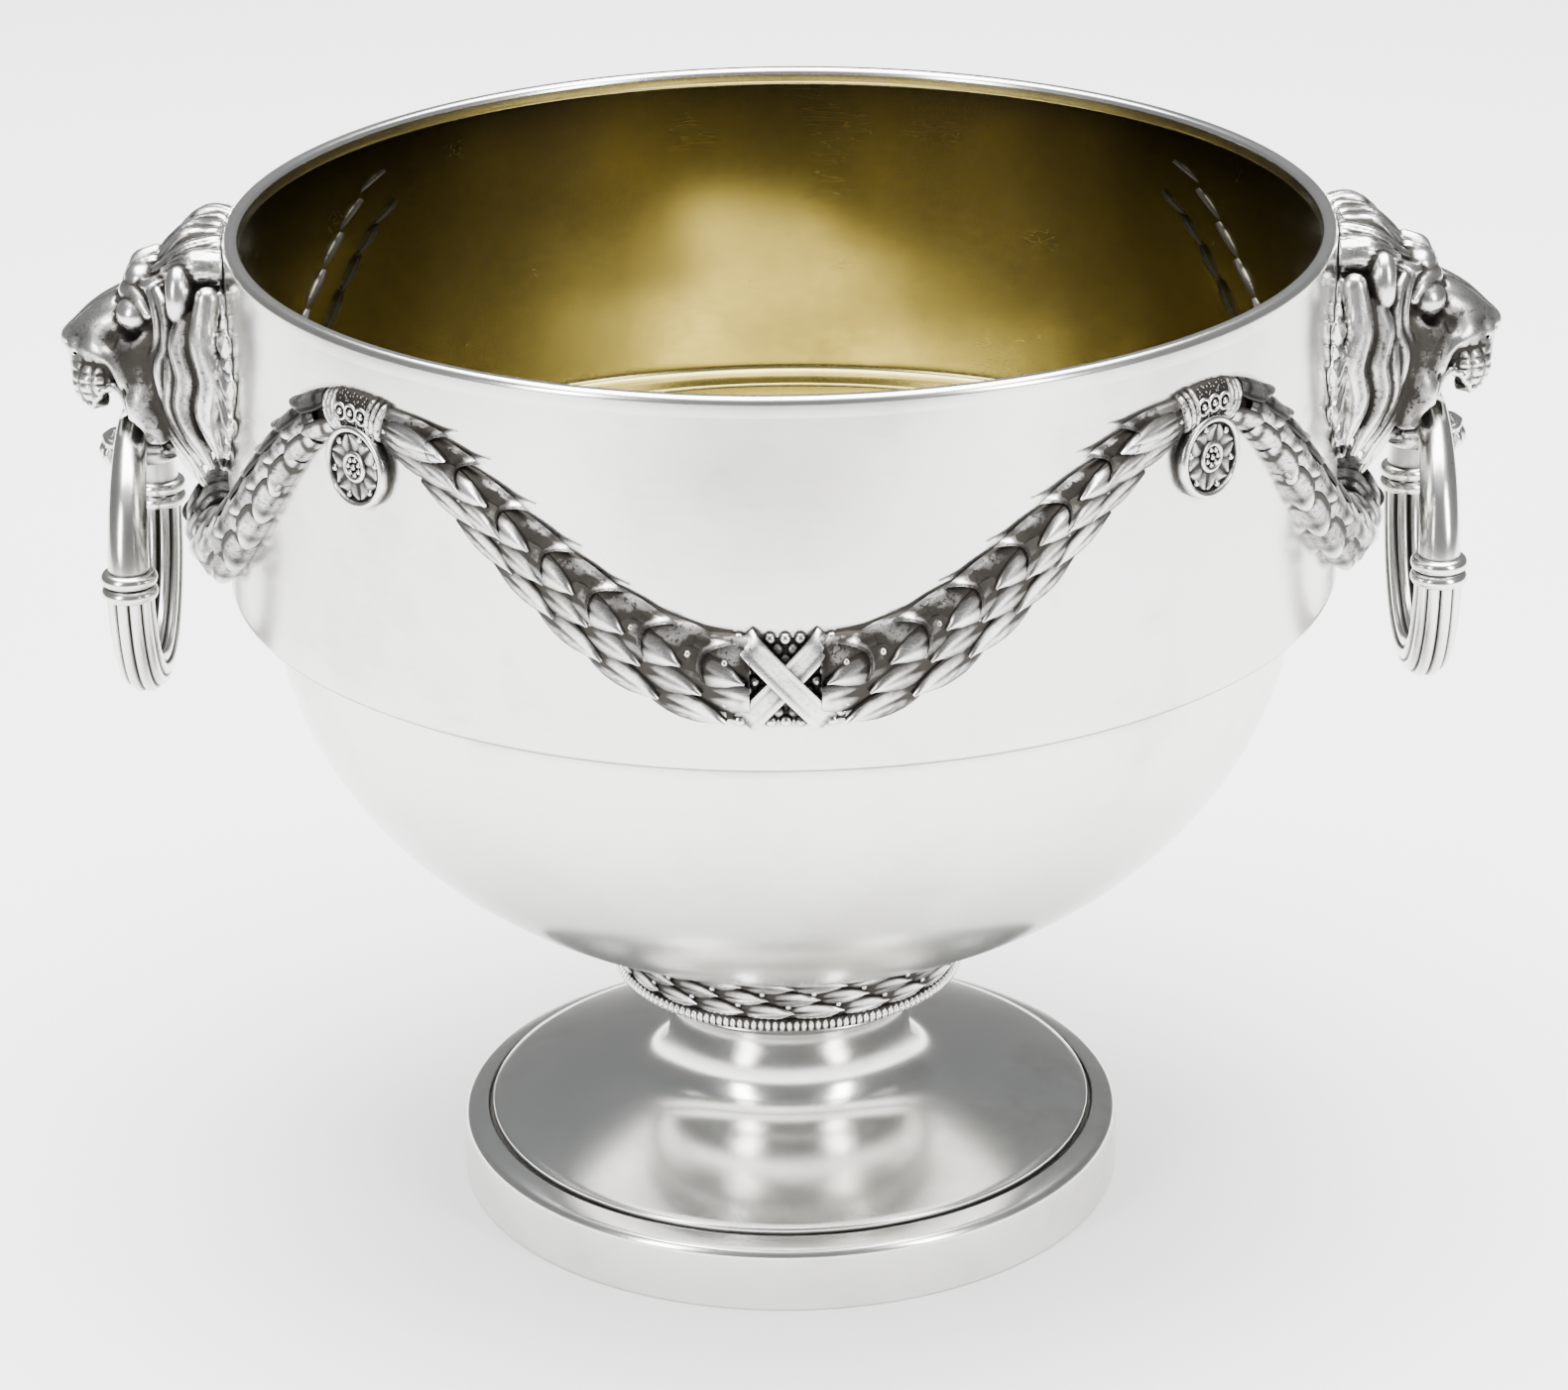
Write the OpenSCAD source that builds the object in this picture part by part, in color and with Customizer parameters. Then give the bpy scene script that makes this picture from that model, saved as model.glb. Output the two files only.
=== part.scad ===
// Footed silver champagne bucket with lion masks, hanging rings and laurel swags.
// Millimetres. +Z is up, the foot rests on z = 0, -Y is the front, the lions look along +X and -X.

/* [Bowl] */
// Height of the top of the rim above the table
total_h = 247; // [244:0.5:250]
// Outer radius of the drum just below the rim
wall_top_r = 130.2; // [129:0.1:131]
// Outer radius of the drum at its lower edge
wall_low_r = 132.4; // [131.5:0.1:133]
// Height of the drum's lower edge
ledge_z = 161.6; // [160:0.2:163]
// Thickness of the raised silver sheet
sheet_t = 1.2; // [0.8:0.1:1.5]
// Outer radius of the lower bowl at its top edge
bowl_r = 123; // [121:0.5:124]
// Depth of the lower bowl's outside below its centre height
bowl_depth = 97; // [95:0.5:98]
// Thickness of the gilding that lines the inside
gilt_t = 0.25; // [0.2:0.05:0.4]

/* [Foot] */
// Outer radius of the foot's base
base_r = 81.8; // [80:0.2:84]
// Height of the base's shoulder where the domed plate sits on it
base_h = 16.4; // [15:0.2:17]
// Radius of the domed plate's edge
plate_r = 74.6; // [72:0.2:76]
// Outer radius of the neck's waist
waist_r = 30; // [28:0.5:32]

/* [Garland] */
// Height of the front swag's lowest point, at its centreline
swag_low_z = 183.7; // [182:0.1:186]
// Height of the garland's arches, where the bindings are
swag_top_z = 232.2; // [230:0.1:234]
// Width of the front swag at its lowest point
swag_w = 22; // [20:0.5:24]
// Height of the side swag's lowest point, at its centreline
side_low_z = 175; // [174:0.2:177]
// How far the side swag stands off the wall at its lowest point
side_proud = 12; // [10:0.5:12.5]

/* [Lions and rings] */
// Distance of a lion's nose tip from the bowl's axis
nose_x = 170.5; // [168:0.5:173]
// Distance of a ring's pivot from the bowl's axis
pivot_x = 153.5; // [152:0.5:155]
// Height of a ring's pivot
pivot_z = 200.3; // [199:0.1:201]
// Mean radius of a ring
ring_r = 32; // [31:0.2:33]
// Radius of the ring's bar inside the lion's mouth
bar_r = 3.5; // [3:0.1:4]
// Radial clearance of that bar in the mouth
bar_play = 0.06; // [0.02:0.01:0.1]

/* [Hidden] */

$fn = 96;
silver = [0.82, 0.82, 0.80];
cast_silver = [0.66, 0.66, 0.64];
gilt = [0.72, 0.62, 0.30];

rim_h = 4.5;                          // height of the rim moulding
rim_w = 3.8;                          // its width, of which part overhangs inwards
drum_top_z = total_h - rim_h;
bowl_centre_z = ledge_z - 1.6;        // height of the lower bowl's widest circle
bowl_t = 1.5;                         // thickness of the lower bowl
ledge_in_r = bowl_r - bowl_t;         // inner edge of the drum's turned-in ledge
seat_z = 69.2;                        // where the collar meets the bowl
seat_r = 46.4;                        // outer radius of that flat seat
neck_top_z = 54.2;                    // top of the foot's neck
bead_h = 3.6;                         // height of the beaded wire
seam = 0.03;                          // gap left for solder behind the cast garland

front_end = 41;                       // azimuth from the front where the front swag ends, degrees
side_end = 49;                        // azimuth from the front where the side swag begins
tie_half = 5.6;                       // half the ribbon tie's spread, degrees
rosette_r = 9.7;
rosette_z = 219.6;
rosette_proud = 3;
plate_t = 4.2;                        // thickness of the mane plate on the wall
mouth_half = 7;                       // half the length of the hole for the ring

// ---- Outlines ----

// Outer radius of the drum at height z
function wall_r(z) = wall_low_r + (wall_top_r - wall_low_r) * (z - ledge_z) / (drum_top_z - ledge_z);
// A point h off the drum, at azimuth a from the front and height z
function on_wall(a, z, h) = [(wall_r(z) + h) * sin(a), -(wall_r(z) + h) * cos(a), z];
// Height of the lower bowl's surface at radius r, for a bowl thinner by inset
function bowl_z(r, inset) = bowl_centre_z - (bowl_depth - inset) * sqrt(1 - pow(r / (bowl_r - inset), 2));
// A cubic Bezier curve through four control points
function bezier(p, t) = pow(1 - t, 3) * p[0] + 3 * t * pow(1 - t, 2) * p[1]
    + 3 * t * t * (1 - t) * p[2] + pow(t, 3) * p[3];
function arc(c, r, a0, a1, n) = [for (i = [0:n]) c + r * [cos(a0 + (a1 - a0) * i / n), sin(a0 + (a1 - a0) * i / n)]];
function unit(v) = v / norm(v);
// A line of points moved sideways by d, to the left of the way it runs
function shifted(p, d) = [for (i = [0:len(p) - 1])
    let(t = unit(p[min(i + 1, len(p) - 1)] - p[max(i - 1, 0)])) p[i] + d * [-t[1], t[0]]];
function reversed(p) = [for (i = [len(p) - 1:-1:0]) p[i]];

// The lower bowl from its top edge down to the middle, one wall of it
function bowl_line(inset, steps) = [for (i = [0:steps])
    let(a = 90 * i / steps) [(bowl_r - inset) * cos(a), bowl_centre_z - (bowl_depth - inset) * sin(a)]];

// The foot from the domed plate's edge, over the root and the waist, to the top of the neck
stem_curves = [
    [[plate_r, 18.4], [65, 20.9], [52, 23.2], [41, 25.2]],
    [[41, 25.2], [35.5, 26.2], [waist_r + 0.2, 29.5], [waist_r, 37.5]],
    [[waist_r, 37.5], [waist_r - 0.2, 44.5], [33.5, 50.5], [40.6, neck_top_z]]];
stem_line = concat([stem_curves[0][0]], [for (c = stem_curves) for (i = [1:8]) bezier(c, i / 8)]);

// ---- Foot ----

module foot_base() {
    color(silver) rotate_extrude() polygon(concat(
        [[base_r - 3.2, 0], [base_r, 0], [base_r, base_h - 3.4]],
        arc([base_r - 2.6, base_h - 3.2], 2.6, 10, 75, 5),
        [[plate_r + 1.6, base_h + 0.9], [plate_r + 0.8, base_h], [plate_r - 4.5, base_h],
            [plate_r - 4.5, base_h - 1.4], [base_r - 4, base_h - 2.4], [base_r - 1.8, base_h - 4.4],
            [base_r - 1.8, 3], [base_r - 3.2, 2.2]]));
}

module foot_stem() {
    color(silver) rotate_extrude() polygon(concat(
        stem_line,
        [[40.6 - sheet_t * 1.4, neck_top_z]],
        reversed([for (i = [1:len(stem_line) - 2]) shifted(stem_line, sheet_t)[i]]),
        [[plate_r - 1.2, base_h], [plate_r, base_h]]));
}

// A half-round wire with a flat back, standing on the neck
module bead_wire() {
    mid_z = neck_top_z + bead_h / 2;
    color(silver) rotate_extrude() polygon(concat(
        [[38.6, neck_top_z]], arc([41.5, mid_z], bead_h / 2, -90, 90, 10), [[38.6, neck_top_z + bead_h]]));
}

module collar_band() {
    low_z = neck_top_z + bead_h;
    color(cast_silver) rotate_extrude() polygon([[38.8, low_z], [41.9, low_z], [42.4, low_z + 0.8],
        [43.6, low_z + 4.5], [45.2, seat_z - 1.2], [46.2, seat_z - 0.9], [46.2, seat_z], [43.4, seat_z]]);
}

// ---- Bowl ----

module bowl_bottom() {
    outer = [for (p = bowl_line(0, 30)) if (p[0] > seat_r) p];
    under = [for (p = bowl_line(0, 30)) if (p[0] < seat_r - 3.4) p];
    color(silver) rotate_extrude() polygon(concat(
        [[ledge_in_r, ledge_z], [bowl_r, ledge_z]], outer,
        [[seat_r, bowl_z(seat_r, 0)], [seat_r, seat_z], [seat_r - 3.2, seat_z]], under,
        reversed(bowl_line(bowl_t, 30))));
}

// The upper wall, turned inwards at its lower edge to meet the lower bowl
module bowl_drum() {
    color(silver) rotate_extrude() polygon([
        [ledge_in_r, ledge_z], [wall_low_r - 0.6, ledge_z], [wall_low_r, ledge_z + 0.6],
        [wall_top_r, drum_top_z], [wall_top_r - sheet_t, drum_top_z],
        [wall_low_r - sheet_t, ledge_z + 2.6], [wall_low_r - sheet_t - 1.2, ledge_z + 1.4],
        [ledge_in_r, ledge_z + 1.4]]);
}

// A round-topped moulding that overhangs the wall on the inside
module rim_moulding() {
    out_r = wall_top_r + 0.1;
    in_r = out_r - rim_w;
    rnd = 1.6;
    color(silver) rotate_extrude() polygon(concat(
        [[out_r, drum_top_z]],
        arc([out_r - rnd, total_h - rnd], rnd, 0, 90, 6),
        arc([in_r + rnd, total_h - rnd], rnd, 90, 180, 6),
        arc([in_r + 0.8, drum_top_z + 0.8], 0.8, 180, 270, 4)));
}

// The gilding, from under the rim down over the ledge to the bottom of the bowl
module gilt_lining() {
    drum_r = wall_low_r - sheet_t;
    color(gilt) rotate_extrude() polygon(concat(
        [[wall_top_r - sheet_t, drum_top_z], [drum_r, ledge_z + 2.6], [drum_r - 1.2, ledge_z + 1.4],
            [ledge_in_r, ledge_z + 1.4]],
        bowl_line(bowl_t, 30), reversed(bowl_line(bowl_t + gilt_t, 30)),
        [[ledge_in_r - gilt_t, ledge_z + 1.4 + gilt_t], [drum_r - 1.3, ledge_z + 1.4 + gilt_t],
            [drum_r - gilt_t, ledge_z + 2.7], [wall_top_r - sheet_t - gilt_t, drum_top_z]]));
}

// ---- Garland ----

// Heights of the garland's centreline at azimuth a from the front
front_z = function(a) swag_low_z + (swag_top_z - swag_low_z) * (1 - cos(180 * pow(abs(a) / 45, 1.15))) / 2;
side_z = function(a) side_low_z + (swag_top_z - side_low_z) * (1 - cos(180 * pow(abs(90 - a) / 45, 1.4))) / 2;
arch_z = function(a) a < 45 ? front_z(a) : side_z(a);
front_w = function(a) swag_w - (swag_w - 8.4) * pow(abs(a) / front_end, 1.1);
side_w = function(a) 15.5 - 6.5 * pow(abs(90 - a) / 41, 1.2);
front_h = function(a) 4.2 - 0.8 * abs(a) / front_end;
side_h = function(a) side_proud - (side_proud - 4.2) * pow(abs(90 - a) / 41, 0.9);

// A half-round band laid on the drum along a centreline, with n slices
module laid_band(from, to, n, height_at, width_at, proud_at) {
    round_n = 8;
    back_n = 4;
    ring_n = round_n + back_n;
    // Across the band: the half-round face, then the flat back on the wall
    function section(i, a) = i <= round_n
        ? [width_at(a) / 2 * cos(180 * i / round_n), proud_at(a) * sin(180 * i / round_n) + seam]
        : [width_at(a) * ((i - round_n) / back_n - 0.5), seam];
    function slope(a) = atan2(height_at(a + 0.2) - height_at(a - 0.2), 0.4 * PI / 180 * wall_r(200));
    function point_at(a, i) = let(s = section(i, a), t = slope(a), z = height_at(a) + s[0] * cos(t))
        on_wall(a - s[0] * sin(t) / wall_r(z) * 180 / PI, z, s[1]);
    points = [for (k = [0:n]) let(a = from + (to - from) * k / n) for (i = [0:ring_n - 1]) point_at(a, i)];
    sides = [for (k = [0:n - 1]) for (i = [0:ring_n - 1]) let(j = (i + 1) % ring_n)
        each [[k * ring_n + i, k * ring_n + j, (k + 1) * ring_n + j],
            [k * ring_n + i, (k + 1) * ring_n + j, (k + 1) * ring_n + i]]];
    ends = [[for (i = [ring_n - 1:-1:0]) i], [for (i = [0:ring_n - 1]) n * ring_n + i]];
    polyhedron(points, concat(sides, ends));
}

module front_swag() {
    color(cast_silver) laid_band(tie_half, front_end, 26, front_z, front_w, front_h);
}

module swag_front_right() front_swag();
module swag_front_left() mirror([1, 0, 0]) front_swag();
module swag_back_left() rotate(180) front_swag();
module swag_back_right() mirror([0, 1, 0]) front_swag();

module swag_side_right() {
    color(cast_silver) laid_band(side_end, 180 - side_end, 44, side_z, side_w, side_h);
}
module swag_side_left() mirror([1, 0, 0]) swag_side_right();

// The crossed ribbons over their cluster of berries, as one plain swell
module ribbon_tie_front() {
    tie_h = function(a) 4.7;
    color(cast_silver) laid_band(-tie_half, tie_half, 10, front_z, front_w, tie_h);
}
module ribbon_tie_back() rotate(180) ribbon_tie_front();

module binding() {
    bind_w = function(a) 9.4;
    bind_h = function(a) 4.2;
    color(cast_silver) laid_band(front_end, side_end, 10, arch_z, bind_w, bind_h);
}
module binding_front_right() binding();
module binding_front_left() mirror([1, 0, 0]) binding();
module binding_back_left() rotate(180) binding();
module binding_back_right() mirror([0, 1, 0]) binding();

// All that lies within h of the drum's outside, as one solid
module drum_solid(h) {
    low = ledge_z + 1;
    high = total_h + 3;
    rotate_extrude() polygon([[0, low], [wall_r(low) + h, low], [wall_r(high) + h, high], [0, high]]);
}

// A round boss that follows the wall, cut clear of the binding above it
module rosette() {
    color(cast_silver) difference() {
        intersection() {
            drum_solid(rosette_proud);
            rotate(-45) translate([0, 0, rosette_z]) rotate([0, 90, 0]) cylinder(r = rosette_r, h = 140);
        }
        drum_solid(0);
        rotate(-45) translate([wall_top_r, -10, rosette_z + 7.2]) cube([10, 20, 8]);
    }
}
module rosette_front_right() rosette();
module rosette_front_left() mirror([1, 0, 0]) rosette();
module rosette_back_left() rotate(180) rosette();
module rosette_back_right() mirror([0, 1, 0]) rosette();

// ---- Lions ----

// The fringe of the mane, cast flat against the wall, with a lapped outline
module mane_plate_right() {
    centre_z = 215;
    // Lateral and vertical half sizes of the fringe, with shallow laps round the edge
    function rim_at(a) = [(41 + 1.6 * cos(9 * a)) * cos(a), (26.5 + 0.7 * cos(9 * a)) * sin(a)];
    color(cast_silver) difference() {
        intersection() {
            drum_solid(plate_t);
            translate([100, 0, centre_z]) rotate([90, 0, 90]) linear_extrude(45)
                polygon([for (i = [0:59]) rim_at(i * 6)]);
        }
        drum_solid(0);
    }
}
module mane_plate_left() mirror([1, 0, 0]) mane_plate_right();

module ball(x, y, z, r) translate([x, y, z]) sphere(r = r, $fn = 24);
// A ball on each side of the face
module pair(x, y, z, r) {
    ball(x, y, z, r);
    ball(x, -y, z, r);
}

// The mask: locks, brow, nose, cheeks and upper lip, with the hole for the ring through the mouth.
// Each corner of the mouth is open, so that the ring's arms can swing.
module lion_head_right() {
    color(cast_silver) difference() {
        union() {
            hull() {
                pair(134, 12, 236, 11);
                pair(136, 25, 217, 9);
                pair(135, 19, 201, 8);
                pair(146.5, 7, 230.5, 7.8);
            }
            hull() {
                pair(146, 11, 224, 9);
                pair(143, 14, 205, 7);
                pair(157, 6, 214.5, 8);
                ball(156, 0, 207, 5);
            }
            hull() {
                pair(149, 4, 229, 5);
                ball(nose_x - 3.2, 0, 218, 3.2);
                pair(162, 5, 212, 6);
                pair(160, 6, 208, 4.4);
            }
            for (side = [-1, 1]) hull() {
                ball(143, side * 17, 202, 5.2);
                ball(145, side * 17, 210, 6);
            }
            translate([pivot_x - 6, -mouth_half, pivot_z - 6]) cube([12, 2 * mouth_half, 12]);
        }
        drum_solid(plate_t);
        for (side = [0, 1]) mirror([0, side, 0])
            translate([pivot_x - 4.9, mouth_half, pivot_z - 12]) cube([32, 32, 16.2]);
        translate([pivot_x, 50, pivot_z]) rotate([90, 0, 0]) cylinder(r = bar_r + bar_play, h = 100);
    }
}
module lion_head_left() mirror([1, 0, 0]) lion_head_right();

// The lower jaw with its tuft of beard, under the hole for the ring
module lion_jaw_right() {
    jaw_top = pivot_z - 6;
    color(cast_silver) intersection() {
        hull() {
            pair(150, 4, 193, 4.2);
            pair(158.5, 2.8, 192, 4);
            ball(158, 0, 189, 2.5);
        }
        translate([140, -15, jaw_top - 12]) cube([30, 30, 12]);
    }
}
module lion_jaw_left() mirror([1, 0, 0]) lion_jaw_right();

// ---- Rings ----

ring_z = pivot_z + 0.2 - ring_r;       // height of the ring's centre
collar_half = 3.4;                     // half the height of the double band

// A round bar bent round the ring's centre from angle a0 to a1, with its radius as a function
module bent_bar(a0, a1, n, radius_at) {
    m = 16;
    function bar_point(a, b) = let(rr = ring_r + radius_at(a) * cos(b))
        [pivot_x + radius_at(a) * sin(b), rr * cos(a), ring_z + rr * sin(a)];
    points = [for (k = [0:n]) for (i = [0:m - 1]) bar_point(a0 + (a1 - a0) * k / n, 360 * i / m)];
    sides = [for (k = [0:n - 1]) for (i = [0:m - 1]) let(j = (i + 1) % m)
        each [[k * m + i, k * m + j, (k + 1) * m + j], [k * m + i, (k + 1) * m + j, (k + 1) * m + i]]];
    ends = [[for (i = [m - 1:-1:0]) i], [for (i = [0:m - 1]) n * m + i]];
    polyhedron(points, concat(sides, ends));
}

// The plain upper half: two tapered arms on the straight bar that turns in the mouth
module ring_shank_right() {
    arm = function(a) 5 - 1.55 * pow(a / 90, 1.3);
    arm_end = 75.5;
    color(silver) {
        translate([pivot_x, 9, pivot_z]) rotate([90, 0, 0]) cylinder(r = bar_r, h = 18);
        bent_bar(0, arm_end, 12, arm);
        mirror([0, 1, 0]) bent_bar(0, arm_end, 12, arm);
    }
}
module ring_shank_left() mirror([1, 0, 0]) ring_shank_right();

// Two double bands, at the ends of the ring's level diameter
module ring_collars_right() {
    band_r = 1.9;
    out_r = 6.75;
    color(silver) for (side = [-1, 1])
        translate([pivot_x, side * ring_r, ring_z]) rotate_extrude() polygon(concat(
            [[4.6, -collar_half], [out_r - band_r, -collar_half]],
            arc([out_r - band_r, -collar_half / 2], collar_half / 2, -90, 90, 6),
            arc([out_r - band_r, collar_half / 2], collar_half / 2, -90, 90, 6),
            [[4.6, collar_half]]));
}
module ring_collars_left() mirror([1, 0, 0]) ring_collars_right();

// The lower half, with reeds along its length
module ring_reeding_right() {
    reeds = 14;
    reed_r = 5.6;
    color(silver) translate([pivot_x, 0, ring_z]) rotate([0, 90, 0]) rotate(-90) rotate_extrude(angle = 180)
        polygon([for (i = [0:reeds * 4 - 1]) let(a = 360 * i / (reeds * 4))
            [ring_r, 0] + (reed_r - 0.45 * abs(cos(a * reeds / 2))) * [cos(a), sin(a)]]);
}
module ring_reeding_left() mirror([1, 0, 0]) ring_reeding_right();

foot_base();
foot_stem();
bead_wire();
collar_band();
bowl_bottom();
bowl_drum();
rim_moulding();
gilt_lining();
swag_front_left();
swag_front_right();
swag_back_left();
swag_back_right();
swag_side_left();
swag_side_right();
ribbon_tie_front();
ribbon_tie_back();
binding_front_left();
binding_front_right();
binding_back_left();
binding_back_right();
rosette_front_left();
rosette_front_right();
rosette_back_left();
rosette_back_right();
mane_plate_left();
mane_plate_right();
lion_head_left();
lion_head_right();
lion_jaw_left();
lion_jaw_right();
ring_shank_left();
ring_shank_right();
ring_collars_left();
ring_collars_right();
ring_reeding_left();
ring_reeding_right();
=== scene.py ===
"""Silver champagne bucket: the looks, built round the packed frame.

Metres. The origin is the centre of the foot's underside, +Z is up, -Y is the front, and the
lions look along +X and -X.
"""

import math
from functools import cache

import bmesh
import bpy
import numpy as np
import openvdb
from bpy.props import FloatProperty, FloatVectorProperty, IntProperty, PointerProperty
from mathutils import Matrix, Vector


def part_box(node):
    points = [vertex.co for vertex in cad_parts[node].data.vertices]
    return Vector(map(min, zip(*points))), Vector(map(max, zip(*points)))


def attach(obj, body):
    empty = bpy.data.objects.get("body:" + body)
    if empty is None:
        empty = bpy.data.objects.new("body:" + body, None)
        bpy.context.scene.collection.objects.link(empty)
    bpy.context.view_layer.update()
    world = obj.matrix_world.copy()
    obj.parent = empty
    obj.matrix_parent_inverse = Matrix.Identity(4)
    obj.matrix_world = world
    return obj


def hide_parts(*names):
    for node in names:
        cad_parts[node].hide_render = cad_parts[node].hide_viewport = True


bl_info = {
    "name": "Silver Champagne Bucket",
    "version": (1, 0, 0),
    "blender": (4, 5, 0),
    "location": "View3D > Sidebar > Bucket",
    "description": "Builds a footed silver wine cooler with laurel swags, lion masks and rings",
    "category": "Add Mesh",
}

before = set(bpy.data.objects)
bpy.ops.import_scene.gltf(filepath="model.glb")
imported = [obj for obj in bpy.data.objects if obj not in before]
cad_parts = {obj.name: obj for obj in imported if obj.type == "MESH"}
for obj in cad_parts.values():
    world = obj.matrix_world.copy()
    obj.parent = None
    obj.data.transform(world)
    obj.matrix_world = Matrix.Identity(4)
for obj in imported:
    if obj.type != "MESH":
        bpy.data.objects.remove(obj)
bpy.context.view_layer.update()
MM = 0.001
SIDES = {"right": 1, "left": -1}

# Lengths in mm, apart from the three turns
WALL_R = 131.3          # radius at which the garland's flat coordinates are true
FRONT_REACH = 136.45    # how far forward the garland comes
CELL = 0.5              # cell size of the maps of the relief and of the painted shade
SHADE_MAP_LOW = 150         # the painted shade round the castings is mapped from this height
SHADE_MAP_HIGH = 260        # up to this one
BOWL_WALL = 1.5         # thickness of the lower bowl
LEDGE = 1.4             # thickness of the ledge where the drum turns in
BOWL_DROP = 1.6         # how far the lower bowl's widest circle lies below the drum's foot
LINING = 0.22           # thickness of the gilding
TIE_EDGE = 5.6          # degrees from the front where a ribbon tie ends
FRONT_END = 41          # degrees from the front where a front swag ends
SIDE_START = 49         # degrees from the front where a side swag starts
FOLIAGE = 19            # length of a husk or a leaf before it is stretched
LEAF_PITCH = 14.0       # spacing of the leaves where the front swag is widest
SCALE_PITCH = 14.0      # spacing of the side swag's scales at a width of 13.5
BEAD_BAND = 3.6         # height of the beaded wire
COLLAR_TOP = 69.2       # height where the collar meets the bowl
COLLAR_R = 44           # radius at which the collar's flat coordinates are true
CLAY_PITCH = 0.42       # cell size of what is sculpted

SHADE_CASTERS = []             # points of the castings, round which shade is painted on the wall


def low(node):
    """Lowest corner of a node's box."""
    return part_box(node)[0]


def high(node):
    """Highest corner of a node's box."""
    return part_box(node)[1]


# ---------------------------------------------------------------------------------------------
# Sizes and finishes that a user may change
# ---------------------------------------------------------------------------------------------


def length(name, description, default):
    """A property that holds a length in metres."""
    return FloatProperty(
        name=name, description=description, default=default, min=0, unit="LENGTH", precision=5
    )


def colour(name, description, default):
    """A property that holds a colour."""
    return FloatVectorProperty(
        name=name, description=description, default=default, size=3, min=0, max=1, subtype="COLOR"
    )


def share(name, description, default):
    """A property that holds a share from 0 to 1."""
    return FloatProperty(
        name=name, description=description, default=default, min=0, max=1, subtype="FACTOR"
    )


class BowlSizes(bpy.types.PropertyGroup):
    """Sizes of the bowl and its rim."""

    rim_radius: length("Rim radius", "Outer radius of the rim", high("rim_moulding").x)
    rim_width: length("Rim width", "How wide the rim moulding is", 3.8 * MM)
    rim_top: length("Rim height", "Height of the rim's top", high("rim_moulding").z)
    drum_radius: length("Drum radius", "Outer radius at the drum's foot", high("bowl_drum").x)
    drum_foot: length("Drum foot", "Height of the drum's lower edge", low("bowl_drum").z)
    drum_top: length("Drum top", "Height where the rim moulding starts", high("bowl_drum").z)
    sheet: length("Sheet", "Thickness of the raised sheet", 1.2 * MM)
    bowl_radius: length("Bowl radius", "Outer radius of the lower bowl", high("bowl_bottom").x)
    bowl_depth: length("Bowl depth", "Depth of the lower bowl's ellipse", 97 * MM)
    around: IntProperty(name="Facets", description="Facets round the axis", default=384, min=48)


class FootSizes(bpy.types.PropertyGroup):
    """Sizes of the foot."""

    base_radius: length("Base radius", "Outer radius of the base", high("foot_base").x)
    plate_radius: length("Plate radius", "Radius of the domed plate", high("foot_stem").x)
    neck_top: length("Neck top", "Height of the top of the neck", high("foot_stem").z)
    waist: length("Waist", "Outer radius of the neck's waist", 30 * MM)
    beads: IntProperty(name="Beads", description="Beads round the collar", default=152, min=12)
    bead_size: length("Bead size", "Width of one bead", 1.6 * MM)


class GarlandSizes(bpy.types.PropertyGroup):
    """Sizes of the garland."""

    low: length("Front low point", "Height of the front swag's lowest point", 183.7 * MM)
    side_low: length("Side low point", "Height of the side swag's lowest point", 175 * MM)
    top: length("Arch", "Height of the garland at its bindings", 232.2 * MM)
    width: length("Swag width", "Width of the front swag at its lowest point", 22 * MM)
    side_proud: length("Side swag depth", "How far the side swag stands off the wall", 12 * MM)


class RingSizes(bpy.types.PropertyGroup):
    """Sizes of the two rings."""

    pivot: length("Pivot", "Distance of a ring's pivot from the bowl's axis", 153.5 * MM)
    height: length("Pivot height", "Height of a ring's pivot", 200.3 * MM)
    radius: length("Ring radius", "Mean radius of a ring", 32 * MM)
    reeds: IntProperty(name="Reeds", description="Reeds round the ring's bar", default=10, min=3)


class StageSizes(bpy.types.PropertyGroup):
    """The camera and the floor."""

    lens: FloatProperty(name="Lens", description="Focal length in mm", default=117.0, min=1)
    distance: length("Distance", "Camera distance from the point it looks at", 1241.2 * MM)
    elevation: FloatProperty(
        name="Elevation", description="Camera's angle above level", default=math.radians(22.606),
        subtype="ANGLE",
    )
    roll: FloatProperty(
        name="Roll", description="Camera's turn about its own line of sight",
        default=math.radians(-0.686), subtype="ANGLE",
    )
    aim_height: length("Aim height", "Height of the point the camera looks at", 125.03 * MM)
    floor: colour("Floor", "Colour of the floor", (0.93, 0.93, 0.93))


class Finishes(bpy.types.PropertyGroup):
    """Colours of the metals."""

    silver: colour("Silver", "Clean silver", (0.77, 0.765, 0.74))
    # Also the colour of the shade painted on the bowl, the rings and the lions' faces
    tarnish: colour("Tarnish", "Old tarnish in the hollows", (0.035, 0.032, 0.028))
    gold: colour("Gold", "Clean gilding", (0.52, 0.45, 0.19))


GROUPS = (
    ("bucket_bowl", BowlSizes),
    ("bucket_foot", FootSizes),
    ("bucket_garland", GarlandSizes),
    ("bucket_rings", RingSizes),
    ("bucket_stage", StageSizes),
    ("bucket_finish", Finishes),
)


def settings(group):
    """The scene's settings for one part of the bucket."""
    return getattr(bpy.context.scene, "bucket_" + group)


# ---------------------------------------------------------------------------------------------
# Shader helpers
# ---------------------------------------------------------------------------------------------


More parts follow.
